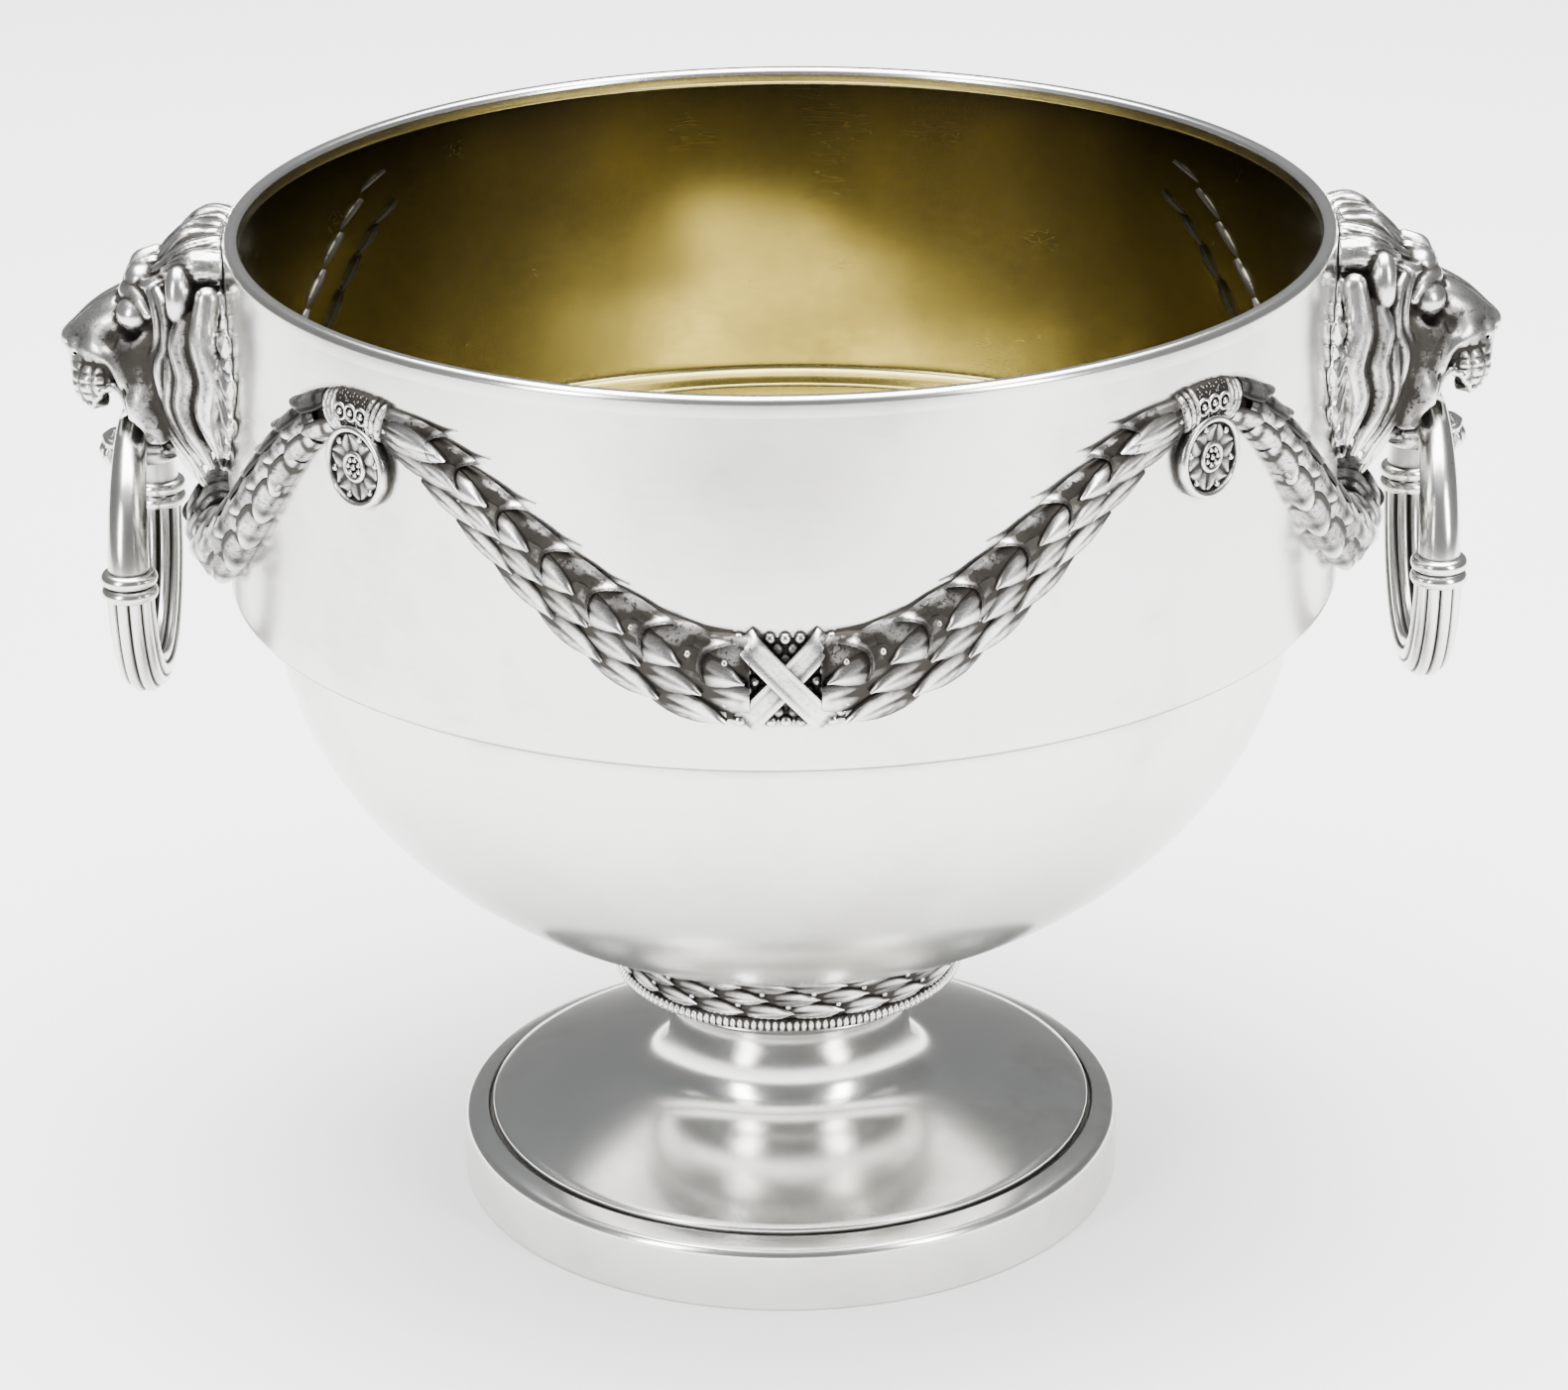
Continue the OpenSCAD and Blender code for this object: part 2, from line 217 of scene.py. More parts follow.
class Net:
    """Adds nodes to a shader or geometry tree, and links them as they are added."""

    def __init__(self, tree):
        self.tree = tree

    def put(self, value, socket):
        """Feed a socket with another socket's output or with a constant."""
        if isinstance(value, bpy.types.NodeSocket):
            self.tree.links.new(value, socket)
        elif value is not None:
            colour_socket = isinstance(value, (tuple, list)) and len(socket.default_value) == 4
            if colour_socket and len(value) == 3:
                value = (*value, 1)
            socket.default_value = value

    def add(self, kind, inputs=None, **attributes):
        """Add a node. Inputs are keyed by the socket's name or its number."""
        node = self.tree.nodes.new(kind)
        for key, value in attributes.items():
            setattr(node, key, value)
        for key, value in (inputs or {}).items():
            self.put(value, node.inputs[key])
        return node

    def math(self, operation, a, b=0.5):
        return self.add("ShaderNodeMath", {0: a, 1: b}, operation=operation).outputs[0]

    def times(self, a, b):
        return self.math("MULTIPLY", a, b)

    def plus(self, a, b):
        return self.math("ADD", a, b)

    def minus(self, a, b):
        return self.math("SUBTRACT", a, b)

    def vector(self, operation, a, b=(0, 0, 0)):
        node = self.add("ShaderNodeVectorMath", {0: a}, operation=operation)
        self.put(b, node.inputs["Scale" if operation == "SCALE" else 1])
        return node.outputs["Value" if operation == "LENGTH" else "Vector"]

    def mix(self, factor, a, b):
        """Colour a turned into colour b by a factor."""
        node = self.add("ShaderNodeMix", data_type="RGBA")
        self.put(factor, node.inputs["Factor"])
        self.put(a, node.inputs["A"])
        self.put(b, node.inputs["B"])
        return node.outputs["Result"]

    def step(self, value, start, end, low_value=0.0, high_value=1.0):
        """Smooth step from low to high as the value goes from start to end."""
        limits = {"From Min": start, "From Max": end, "To Min": low_value, "To Max": high_value}
        return self.add(
            "ShaderNodeMapRange", {"Value": value, **limits}, interpolation_type="SMOOTHSTEP"
        ).outputs["Result"]

    def noise(self, where, scale, detail=3.0, roughness=0.5):
        return self.add(
            "ShaderNodeTexNoise",
            {"Vector": where, "Scale": scale, "Detail": detail, "Roughness": roughness},
        ).outputs["Fac"]

    def cells(self, where, scale):
        return self.add("ShaderNodeTexVoronoi", {"Vector": where, "Scale": scale}).outputs["Distance"]

    def turned(self, where, turn=(0, 0, 0), scale=(1, 1, 1)):
        return self.add(
            "ShaderNodeMapping", {"Vector": where, "Rotation": turn, "Scale": scale}
        ).outputs["Vector"]

    def bump(self, height, distance, normal=None):
        return self.add(
            "ShaderNodeBump", {"Height": height, "Distance": distance, "Normal": normal}
        ).outputs["Normal"]

    def attribute(self, name):
        return self.add("ShaderNodeAttribute", attribute_name=name).outputs["Fac"]


def shader_group(name, inputs, outputs):
    """A new shader node group, with its net, what it is given and where its results go."""
    tree = bpy.data.node_groups.new(name, "ShaderNodeTree")
    for socket, (kind, default) in inputs.items():
        item = tree.interface.new_socket(socket, in_out="INPUT", socket_type="NodeSocket" + kind)
        if default is not None:
            item.default_value = default
    for socket, kind in outputs.items():
        tree.interface.new_socket(socket, in_out="OUTPUT", socket_type="NodeSocket" + kind)
    net = Net(tree)
    given = net.add("NodeGroupInput").outputs
    result = net.add("NodeGroupOutput").inputs
    return tree, net, given, result


def use_group(net, tree, **inputs):
    """Add a node group to a net, and hand back its outputs."""
    node = net.add("ShaderNodeGroup", node_tree=tree)
    for key, value in inputs.items():
        net.put(value, node.inputs[key])
    return node.outputs


@cache
def scratches_group():
    """Fine straight scratches from cleaning, in four directions, broken up along their length."""
    tree, net, given, result = shader_group(
        "Cleaning scratches",
        {"Vector": ("Vector", None), "Fineness": ("Float", 900.0), "Share": ("Float", 0.5)},
        {"Mask": "Float"},
    )
    where = given["Vector"]
    total = None
    directions = ((0.3, 0.2, 0.1), (1.2, 0.4, 2.0), (0.7, 1.9, 1.1), (2.3, 0.9, 0.4))
    for number, turn in enumerate(directions):
        stretched = net.turned(where, turn=turn, scale=(0.025, 1, 1))
        wobble = net.noise(stretched, given["Fineness"], detail=1.5)
        line = net.step(net.math("ABSOLUTE", net.minus(wobble, 0.5)), 0.012, 0.0)
        patch = net.noise(net.turned(where, turn=turn), 26.0 + 9 * number, detail=2.0)
        edge = net.minus(0.78, net.times(given["Share"], 0.4))
        line = net.times(line, net.step(patch, edge, net.plus(edge, 0.16)))
        total = line if total is None else net.math("MAXIMUM", total, line)
    net.put(total, result["Mask"])
    return tree


@cache
def lathe_marks_group():
    """Streaks that run round the axis, from turning and wiping, as a mask from 0 to 1."""
    tree, net, given, result = shader_group(
        "Turning marks",
        {"Vector": ("Vector", None), "Fineness": ("Float", 700.0), "Length": ("Float", 0.03)},
        {"Mask": "Float"},
    )
    parts = net.add("ShaderNodeSeparateXYZ", {0: given["Vector"]}).outputs
    angle = net.math("ARCTAN2", parts["Y"], parts["X"])
    level = net.add("ShaderNodeCombineXYZ", {0: parts["X"], 1: parts["Y"]}).outputs[0]
    radius = net.vector("LENGTH", level)
    across = net.plus(parts["Z"], net.times(radius, 0.7))
    along = net.times(angle, given["Length"])
    flat = net.add("ShaderNodeCombineXYZ", {0: along, 1: across}).outputs[0]
    net.put(net.noise(flat, given["Fineness"], detail=4.0, roughness=0.6), result["Mask"])
    return tree


def metal_material(name):
    """A new material with a metallic Principled shader, its net and the Object coordinates."""
    material = bpy.data.materials.new(name)
    material.use_nodes = True
    net = Net(material.node_tree)
    shader = material.node_tree.nodes["Principled BSDF"]
    shader.inputs["Metallic"].default_value = 1.0
    where = net.add("ShaderNodeTexCoord").outputs["Object"]
    return material, net, shader, where


def polished_silver():
    """Raised silver sheet: soft mirror, slightly uneven, finely scratched, dark in the seams and where
    shade is painted: under the drum, round the castings and on the rings' inner side.
    """
    finish = settings("finish")
    material, net, shader, where = metal_material("polished_silver")
    hollow = net.attribute("hollow")
    scratch = use_group(net, scratches_group(), Vector=where, Fineness=420.0, Share=0.45)["Mask"]
    marks = use_group(net, lathe_marks_group(), Vector=where, Fineness=520.0, Length=0.02)["Mask"]
    cloud = net.noise(where, 14.0, detail=5.0, roughness=0.62)
    tint_mask = net.step(net.noise(where, 38.0, detail=6.0, roughness=0.7), 0.52, 0.74)
    speck = net.step(net.cells(where, 260.0), 0.10, 0.03)
    speck = net.times(speck, net.step(net.noise(where, 30.0), 0.56, 0.66))
    tint = net.mix(net.times(tint_mask, 0.35), finish.silver[:], (0.80, 0.77, 0.70))
    streak = net.times(net.step(marks, 0.50, 0.70), net.step(cloud, 0.42, 0.62))
    tint = net.mix(net.times(streak, 0.30), tint, (0.56, 0.55, 0.53))
    tint = net.mix(net.times(net.step(cloud, 0.46, 0.66), 0.55), tint, (0.55, 0.54, 0.48))
    tint = net.mix(net.times(scratch, 0.12), tint, (0.50, 0.49, 0.47))
    tint = net.mix(net.times(speck, 0.5), tint, (0.32, 0.29, 0.25))
    uneven = net.times(net.minus(cloud, 0.5), 0.4)
    # The hollow attribute turns the silver to the tarnish colour: tarnish in the seams, painted shade under
    # the drum, round the castings and on the rings' inner side
    dark = net.step(net.plus(hollow, uneven), 0.25, 0.95)
    net.put(net.mix(dark, tint, finish.tarnish[:]), shader.inputs["Base Color"])
    rough = net.plus(0.10, net.times(cloud, 0.14))
    rough = net.plus(rough, net.times(marks, 0.06))
    rough = net.plus(rough, net.times(scratch, 0.05))
    net.put(net.plus(rough, net.times(dark, 0.3)), shader.inputs["Roughness"])
    beaten = net.bump(net.noise(where, 16.0, detail=1.0), 0.9 * MM)
    normal = net.bump(net.minus(marks, net.times(scratch, 0.25)), 0.003 * MM, beaten)
    net.put(normal, shader.inputs["Normal"])
    return material


def cast_silver():
    """Cast and chased silver: bright on the high points, black with tarnish in the hollows and with painted
    shade on the lions' faces.
    """
    finish = settings("finish")
    material, net, shader, where = metal_material("cast_silver")
    hollow = net.attribute("hollow")
    matt = net.attribute("matt")
    grain = net.cells(where, 1300.0)
    pits = net.step(net.noise(where, 900.0, detail=3.0, roughness=0.7), 0.50, 0.64)
    cloud = net.noise(where, 90.0, detail=4.0, roughness=0.6)
    amount = net.plus(hollow, net.times(net.minus(cloud, 0.5), 0.55))
    amount = net.plus(amount, net.times(net.times(pits, matt), 0.5))
    dark = net.step(amount, 0.12, 0.62)
    grey = net.mix(net.step(amount, -0.10, 0.34), finish.silver[:], (0.30, 0.295, 0.28))
    net.put(net.mix(dark, grey, finish.tarnish[:]), shader.inputs["Base Color"])
    scratch = use_group(net, scratches_group(), Vector=where, Fineness=900.0, Share=0.6)["Mask"]
    rough = net.plus(0.17, net.times(cloud, 0.12))
    rough = net.plus(rough, net.times(matt, 0.16))
    rough = net.plus(rough, net.times(scratch, 0.12))
    net.put(net.plus(rough, net.times(dark, 0.25)), shader.inputs["Roughness"])
    coarse = net.bump(cloud, 0.06 * MM)
    stipple = net.times(net.plus(grain, pits), matt)
    net.put(net.bump(stipple, 0.04 * MM, coarse), shader.inputs["Normal"])
    return material


def gilding():
    """Worn satin gilding, wiped round and round, with a few dark marks."""
    finish = settings("finish")
    material, net, shader, where = metal_material("gilding")
    hollow = net.attribute("hollow")
    scratch = use_group(net, scratches_group(), Vector=where, Fineness=520.0, Share=0.35)["Mask"]
    marks = use_group(net, lathe_marks_group(), Vector=where, Fineness=640.0, Length=0.035)["Mask"]
    cloud = net.noise(where, 11.0, detail=5.0, roughness=0.65)
    worn = net.step(net.noise(where, 24.0, detail=7.0, roughness=0.72), 0.50, 0.80)
    tint = net.mix(net.step(cloud, 0.35, 0.68), finish.gold[:], (0.36, 0.315, 0.14))
    tint = net.mix(net.times(worn, 0.6), tint, (0.25, 0.22, 0.10))
    tint = net.mix(net.times(net.minus(marks, 0.5), 0.5), tint, (0.30, 0.23, 0.09))
    nick = net.step(net.cells(net.turned(where, scale=(1, 1, 0.35)), 75.0), 0.07, 0.03)
    nick = net.times(nick, net.step(net.noise(where, 17.0), 0.56, 0.64))
    tint = net.mix(net.times(nick, 0.8), tint, (0.06, 0.05, 0.03))
    net.put(net.mix(hollow, tint, finish.tarnish[:]), shader.inputs["Base Color"])
    rough = net.plus(0.13, net.times(cloud, 0.14))
    rough = net.plus(rough, net.times(marks, 0.08))
    net.put(net.plus(rough, net.times(scratch, 0.08)), shader.inputs["Roughness"])
    beaten = net.bump(net.noise(where, 13.0, detail=1.0), 5.0 * MM)
    net.put(net.bump(marks, 0.004 * MM, beaten), shader.inputs["Normal"])
    return material


FINISHES = {"polished_silver": polished_silver, "cast_silver": cast_silver, "gilding": gilding}


def finish_material(slot):
    """The material of one of the record's slots, made the first time it is asked for."""
    name = FINISHES[slot].__name__ + "_finish"
    if name not in bpy.data.materials:
        FINISHES[slot]().name = name
    return bpy.data.materials[name]


# ---------------------------------------------------------------------------------------------
# Mesh helpers
# ---------------------------------------------------------------------------------------------


def set_attribute(mesh, name, values):
    """Store one number per vertex on a mesh."""
    layer = mesh.attributes.get(name) or mesh.attributes.new(name, "FLOAT", "POINT")
    layer.data.foreach_set("value", np.ascontiguousarray(values, np.float32))


def attribute_values(mesh, name):
    """One number per vertex of a mesh, or zeros where it has no such attribute."""
    values = np.zeros(len(mesh.vertices), np.float32)
    if name in mesh.attributes:
        mesh.attributes[name].data.foreach_get("value", values)
    return values


def vertex_array(mesh):
    """A mesh's points, as rows of x, y and z."""
    flat = np.empty(len(mesh.vertices) * 3, np.float32)
    mesh.vertices.foreach_get("co", flat)
    return flat.reshape(-1, 3)


def smooth(mesh, crease=38):
    """Shade a mesh smooth, but for edges sharper than the crease angle in degrees."""
    mesh.shade_smooth()
    mesh.set_sharp_from_angle(angle=math.radians(crease))


def new_mesh(name, points, faces, crease=38):
    """A smooth-shaded mesh, with the edges sharper than the crease angle kept sharp."""
    mesh = bpy.data.meshes.new(name)
    mesh.from_pydata([tuple(p) for p in points], [], [tuple(f) for f in faces])
    mesh.validate()
    smooth(mesh, crease)
    return mesh


def turn_outwards(mesh, merge=0.0):
    """Point a mesh's faces outwards, once any points within the merge distance are joined."""
    build = bmesh.new()
    build.from_mesh(mesh)
    if merge:
        bmesh.ops.remove_doubles(build, verts=build.verts, dist=merge)
    bmesh.ops.recalc_face_normals(build, faces=build.faces)
    build.to_mesh(mesh)
    build.free()


def woven_faces(rows, columns, closed, flip=False):
    """Quads between rows of points that run round, where closed joins the last row to the first."""
    i, j = np.meshgrid(np.arange(rows if closed else rows - 1), np.arange(columns), indexing="ij")
    ni, nj = (i + 1) % rows, (j + 1) % columns
    corners = [i * columns + j, i * columns + nj, ni * columns + nj, ni * columns + j]
    if flip:
        corners = [corners[0], *corners[:0:-1]]
    return np.stack(corners, -1).reshape(-1, 4)


def new_object(name, mesh):
    """An object in the scene that shows a mesh."""
    thing = bpy.data.objects.new(name, mesh)
    bpy.context.scene.collection.objects.link(thing)
    return thing


def finish_piece(thing, body, slot, *nodes):
    """Give a finished piece its material, hang it on the empty of the body it rides on, and hide the
    frame's nodes that it replaces.
    """
    thing.data.materials.clear()
    thing.data.materials.append(finish_material(slot))
    for name in ("hollow", "matt"):
        if name not in thing.data.attributes:
            set_attribute(thing.data, name, np.zeros(len(thing.data.vertices)))
    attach(thing, body)
    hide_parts(*nodes)
    return thing


def rounded(corners, steps=5):
    """An outline through (radius, height, fillet) corners, in mm, each rounded by its fillet."""
    out = []
    count = len(corners)
    for i, (r, z, fillet) in enumerate(corners):
        here = Vector((r, z))
        if fillet <= 0:
            out.append(here)
            continue
        before = (Vector(corners[i - 1][:2]) - here).normalized()
        after = (Vector(corners[(i + 1) % count][:2]) - here).normalized()
        half = before.angle(after) / 2
        reach = fillet / math.tan(half)
        middle = here + (before + after).normalized() * (fillet / math.sin(half))
        start = here + before * reach - middle
        end = here + after * reach - middle
        turn = start.angle_signed(end)
        for k in range(steps + 1):
            spin = Matrix.Rotation(-turn * k / steps, 2)
            out.append(middle + spin @ start)
    return [(p.x, p.y) for p in out]


def bezier(a, b, c, d, steps):
    """Points along a cubic curve, without its first point."""
    line = []
    for k in range(1, steps + 1):
        t = k / steps
        s = 1 - t
        line.append(tuple(
            s**3 * a[i] + 3 * s * s * t * b[i] + 3 * s * t * t * c[i] + t**3 * d[i] for i in (0, 1)
        ))
    return line


def lathe(name, outline, around):
    """Turn a closed outline of (radius, height) points in mm about the Z axis."""
    r = np.array([p[0] for p in outline]) * MM
    z = np.array([p[1] for p in outline]) * MM
    angle = np.arange(around) * 2 * math.pi / around
    x = r[:, None] * np.cos(angle)
    y = r[:, None] * np.sin(angle)
    points = np.stack([x, y, np.repeat(z[:, None], around, 1)], -1).reshape(-1, 3)
    mesh = new_mesh(name, points, woven_faces(len(outline), around, closed=True))
    turn_outwards(mesh, merge=1e-7)
    smooth(mesh)
    return new_object(name, mesh)


def shade_seams(thing, seams, reach):
    """Darken the vertices that lie within reach, in mm, of a seam at (radius, height), in mm."""
    points = vertex_array(thing.data) / MM
    r = np.hypot(points[:, 0], points[:, 1])
    dark = np.zeros(len(points))
    for seam_r, seam_z in seams:
        gap = np.hypot(r - seam_r, points[:, 2] - seam_z)
        dark = np.maximum(dark, np.clip(1 - gap / reach, 0, 1))
    set_attribute(thing.data, "hollow", dark)


# ---------------------------------------------------------------------------------------------
# Bowl
# ---------------------------------------------------------------------------------------------


def mm(value):
    """A length in metres as millimetres."""
    return value / MM


def wall_radius(z):
    """Outer radius of the drum at height z, in mm."""
    bowl = settings("bowl")
    foot, top = mm(bowl.drum_foot), mm(bowl.drum_top)
    top_radius = mm(bowl.rim_radius) - 0.1
    return mm(bowl.drum_radius) + (top_radius - mm(bowl.drum_radius)) * (z - foot) / (top - foot)


def bowl_curve(inset, steps=48):
    """The lower bowl's quarter ellipse from its widest circle down to the axis, in mm."""
    bowl = settings("bowl")
    wide = mm(bowl.bowl_radius) - inset
    deep = mm(bowl.bowl_depth) - inset
    centre = mm(bowl.drum_foot) - BOWL_DROP
    angles = [math.pi / 2 * k / steps for k in range(steps + 1)]
    return [(wide * math.cos(a), centre - deep * math.sin(a)) for a in angles]


def build_rim():
    """The moulded rim on top of the drum."""
    bowl = settings("bowl")
    out, top, start = mm(bowl.rim_radius), mm(bowl.rim_top), mm(bowl.drum_top)
    inner = out - mm(bowl.rim_width)
    outline = rounded(
        [(out, start, 0), (out, top, 1.7), (inner, top, 1.7), (inner, start, 1.2)], steps=8
    )
    rim = lathe("rim", outline, bowl.around)
    shade_seams(rim, [(inner + 1.5, start)], 1.4)
    return finish_piece(rim, "bucket", "polished_silver", "rim_moulding")


def wall_cells(points, size):
    """Rows and columns of the stain map in which points in mm lie."""
    turn = np.arctan2(points[:, 0], -points[:, 1]) % (2 * math.pi)
    i = (turn * WALL_R / CELL).astype(int) % size[0]
    return i, np.clip(((points[:, 2] - SHADE_MAP_LOW) / CELL).astype(int), 0, size[1] - 1)


def grown(grid):
    """A grid in which each cell takes the highest value of its neighbours."""
    for axis in (0, 1):
        grid = np.maximum(grid, np.maximum(np.roll(grid, 1, axis), np.roll(grid, -1, axis)))
    return grid


def stain_map():
    """A map round the wall of the shade painted near the castings, with soft edges."""
    cover = np.zeros((int(2 * math.pi * WALL_R / CELL), int((SHADE_MAP_HIGH - SHADE_MAP_LOW) / CELL)))
    for points in SHADE_CASTERS:
        cover[wall_cells(points, cover.shape)] = 1
    cover = grown(cover)
    return 0.42 * box_blur(cover, 1) + 0.24 * box_blur(cover, 4)


def build_drum():
    """The upper wall, turned in at its foot, with painted shade round the castings."""
    bowl = settings("bowl")
    foot, top, sheet = mm(bowl.drum_foot), mm(bowl.drum_top), mm(bowl.sheet)
    ledge = mm(bowl.bowl_radius) - BOWL_WALL
    out = mm(bowl.drum_radius)
    side = [(wall_radius(z), z, 0) for z in np.linspace(foot + 2, top, 68)]
    corners = [(ledge, foot, 0), (out, foot, 1.2), *side, (wall_radius(top) - sheet, top, 0),
               (out - sheet, foot + LEDGE, 0.8), (ledge, foot + LEDGE, 0)]
    drum = lathe("drum", rounded(corners), 2 * bowl.around)
    shade_seams(drum, [(mm(bowl.bowl_radius) + 0.4, foot), (out - 0.6, foot - 0.2)], 2.3)
    points = vertex_array(drum.data) / MM
    seam = attribute_values(drum.data, "hollow")
    stains = stain_map()
    outside = np.hypot(points[:, 0], points[:, 1]) > wall_radius(points[:, 2]) - 0.4
    # Painted shade: the outer wall darkens next to the castings, in the tarnish colour
    tint_mask = np.clip(stains[wall_cells(points, stains.shape)], 0, 1) * outside
    set_attribute(drum.data, "hollow", np.maximum(seam, tint_mask))
    return finish_piece(drum, "bucket", "polished_silver", "bowl_drum")


def build_lower_bowl():
    """The round bottom of the bowl, in shade just below the drum."""
    bowl = settings("bowl")
    foot = mm(bowl.drum_foot)
    outer = bowl_curve(0)
    inner = bowl_curve(BOWL_WALL)
    outline = [(inner[0][0], foot), (outer[0][0], foot), *outer, *reversed(inner)]
    lower = lathe("lower_bowl", outline, bowl.around)
    shade_seams(lower, [(outer[0][0], foot), (46.2, 69.6)], 1.6)
    seam = attribute_values(lower.data, "hollow")
    # Painted shadow of the drum's overhang: darker in a band just below it
    under_ledge = 0.70 * np.clip((vertex_array(lower.data)[:, 2] / MM - foot + 9) / 7, 0, 1)
    set_attribute(lower.data, "hollow", np.maximum(seam, under_ledge))
    return finish_piece(lower, "bucket", "polished_silver", "bowl_bottom")


def build_lining():
    """The gilding: it starts under the rim and runs over the ledge to the bottom."""
    bowl = settings("bowl")
    foot, top, sheet = mm(bowl.drum_foot), mm(bowl.drum_top), mm(bowl.sheet)
    ledge = mm(bowl.bowl_radius) - BOWL_WALL
    wall = mm(bowl.drum_radius) - sheet
    start = wall_radius(top) - sheet
    step = foot + LEDGE
    outer = [(start, top), (wall, foot + 2.6), (wall - 1.2, step), (ledge, step)]
    skin = rounded([
        (ledge - LINING, foot - 8, 0), (ledge - LINING, step + LINING, 0.9),
        (wall - LINING, step + LINING, 2.2), (start - LINING, top, 0),
    ])[1:]
    floor = [p for p in bowl_curve(BOWL_WALL + LINING) if p[1] < foot - 3]
    outline = [*outer, *bowl_curve(BOWL_WALL), *reversed(floor), *skin]
    lining = lathe("gilded_inside", outline, bowl.around)
    shade_seams(lining, [(start - LINING, top)], 1.0)
    return finish_piece(lining, "bucket", "gilding", "gilt_lining")


# ---------------------------------------------------------------------------------------------
# Foot
# ---------------------------------------------------------------------------------------------


def build_foot_base():
    """The raised ring that the bucket stands on."""
    foot = settings("foot")
    out, plate = mm(foot.base_radius), mm(foot.plate_radius)
    outline = rounded([
        (out - 3.2, 0, 0.5), (out, 0, 0.9), (out, 15.6, 2.6), (plate + 1.4, 17.3, 0.5),
        (plate + 0.8, 16.4, 0), (plate - 4.5, 16.4, 0), (plate - 4.5, 15.0, 0), (out - 4, 14.0, 0),
        (out - 1.8, 12.0, 1.0),
        (out - 1.8, 3, 0.5), (out - 3.2, 2.2, 0.5),
    ])
    base = lathe("base", outline, settings("bowl").around)
    shade_seams(base, [(plate + 0.6, 16.6)], 1.5)
    return finish_piece(base, "bucket", "polished_silver", "foot_base")


def stem_curve(steps=14):
    """The foot's outline from the plate's edge to the top of the neck, in mm."""
    foot = settings("foot")
    plate, waist, top = mm(foot.plate_radius), mm(foot.waist), mm(foot.neck_top)
    line = [(plate, 18.3)]
    line += bezier((plate, 18.3), (65, 20.9), (52, 23.2), (41, 25.2), steps)
    line += bezier((41, 25.2), (35.5, 26.2), (waist + 0.2, 29.5), (waist, 37.5), steps)
    line += bezier((waist, 37.5), (waist - 0.2, 44.5), (33.5, 50.5), (40.5, top), steps)
    return line


def build_foot_stem():
    """The domed plate and the neck, in one sheet."""
    sheet = 1.15
    line = stem_curve()
    top = line[-1][1]
    inner = []
    for k in range(1, len(line) - 1):
        along = (Vector(line[k + 1]) - Vector(line[k - 1])).normalized()
        inner.append((line[k][0] - along.y * sheet, line[k][1] - abs(along.x) * sheet))
    plate = line[0][0]
    edge = [(plate - 1.5, 16.45), (plate - 0.1, 16.5), (plate, 16.9), (plate, 18.0),
            (plate - 0.25, 18.32)]
    outline = [*edge, *line[1:], (38.9, top), *reversed(inner)]
    stem = lathe("stem", outline, settings("bowl").around)
    shade_seams(stem, [(plate, 16.6), (40.6, top)], 1.6)
    return finish_piece(stem, "bucket", "polished_silver", "foot_stem")


# ---------------------------------------------------------------------------------------------
# Ornaments, in mm: flat shapes with the base at the origin and the tip along +X
# ---------------------------------------------------------------------------------------------


def grid_faces(rows, columns, start=0, flip=False):
    """Quads of a grid of points, numbered row by row."""
    i, j = np.meshgrid(np.arange(rows - 1), np.arange(columns - 1), indexing="ij")
    a = start + i * columns + j
    quads = np.stack([a, a + columns, a + columns + 1, a + 1], -1).reshape(-1, 4)
    return quads[:, ::-1] if flip else quads


def shell(name, surface, along, across=9, depth=0.9):
    """A closed thin ornament from a surface.

    The surface gives x, y, z, hollow and matt for u from 0 to 1 and v from -1 to 1.
    """
    u, v = np.meshgrid(np.linspace(0, 1, along), np.linspace(-1, 1, across), indexing="ij")
    x, y, z, hollow, matt = (np.broadcast_to(value, u.shape) for value in surface(u, v))
    top = np.stack([x, y, z], -1).reshape(-1, 3)
    back = np.stack([x, y, z - depth], -1).reshape(-1, 3)
    count = len(top)
    faces = [grid_faces(along, across), grid_faces(along, across, count, flip=True)]
    border = [*range(across), *range(2 * across - 1, count, across),
              *range(count - 2, count - across - 1, -1), *range(count - 2 * across, 0, -across)]
    pairs = zip(border, border[1:] + border[:1])
    faces.append(np.array([(a, b, b + count, a + count) for a, b in pairs])[:, ::-1])
    points = np.vstack([top, back])
    shade = np.concatenate([hollow.ravel(), np.ones(count)])
    grain = np.concatenate([matt.ravel(), np.ones(count)])
    return keep_ornament(name, points, np.vstack(faces), shade, grain)


def keep_ornament(name, points, faces, hollow, matt):
    """An ornament's object, outside the scene, with the two attributes that its metal needs."""
    mesh = new_mesh(name, points, faces, crease=60)
    set_attribute(mesh, "hollow", np.clip(hollow, 0, 1))
    set_attribute(mesh, "matt", np.clip(matt, 0, 1))
    return bpy.data.objects.new(name, mesh)


def bell(value, middle, width):
    """A smooth hump of height 1 round a middle value."""
    return np.exp(-(((value - middle) / width) ** 2))


def shape_of(u, *stops):
    """A width that runs through evenly spaced stops as u goes from 0 to 1."""
    return np.interp(u, np.linspace(0, 1, len(stops)), stops)


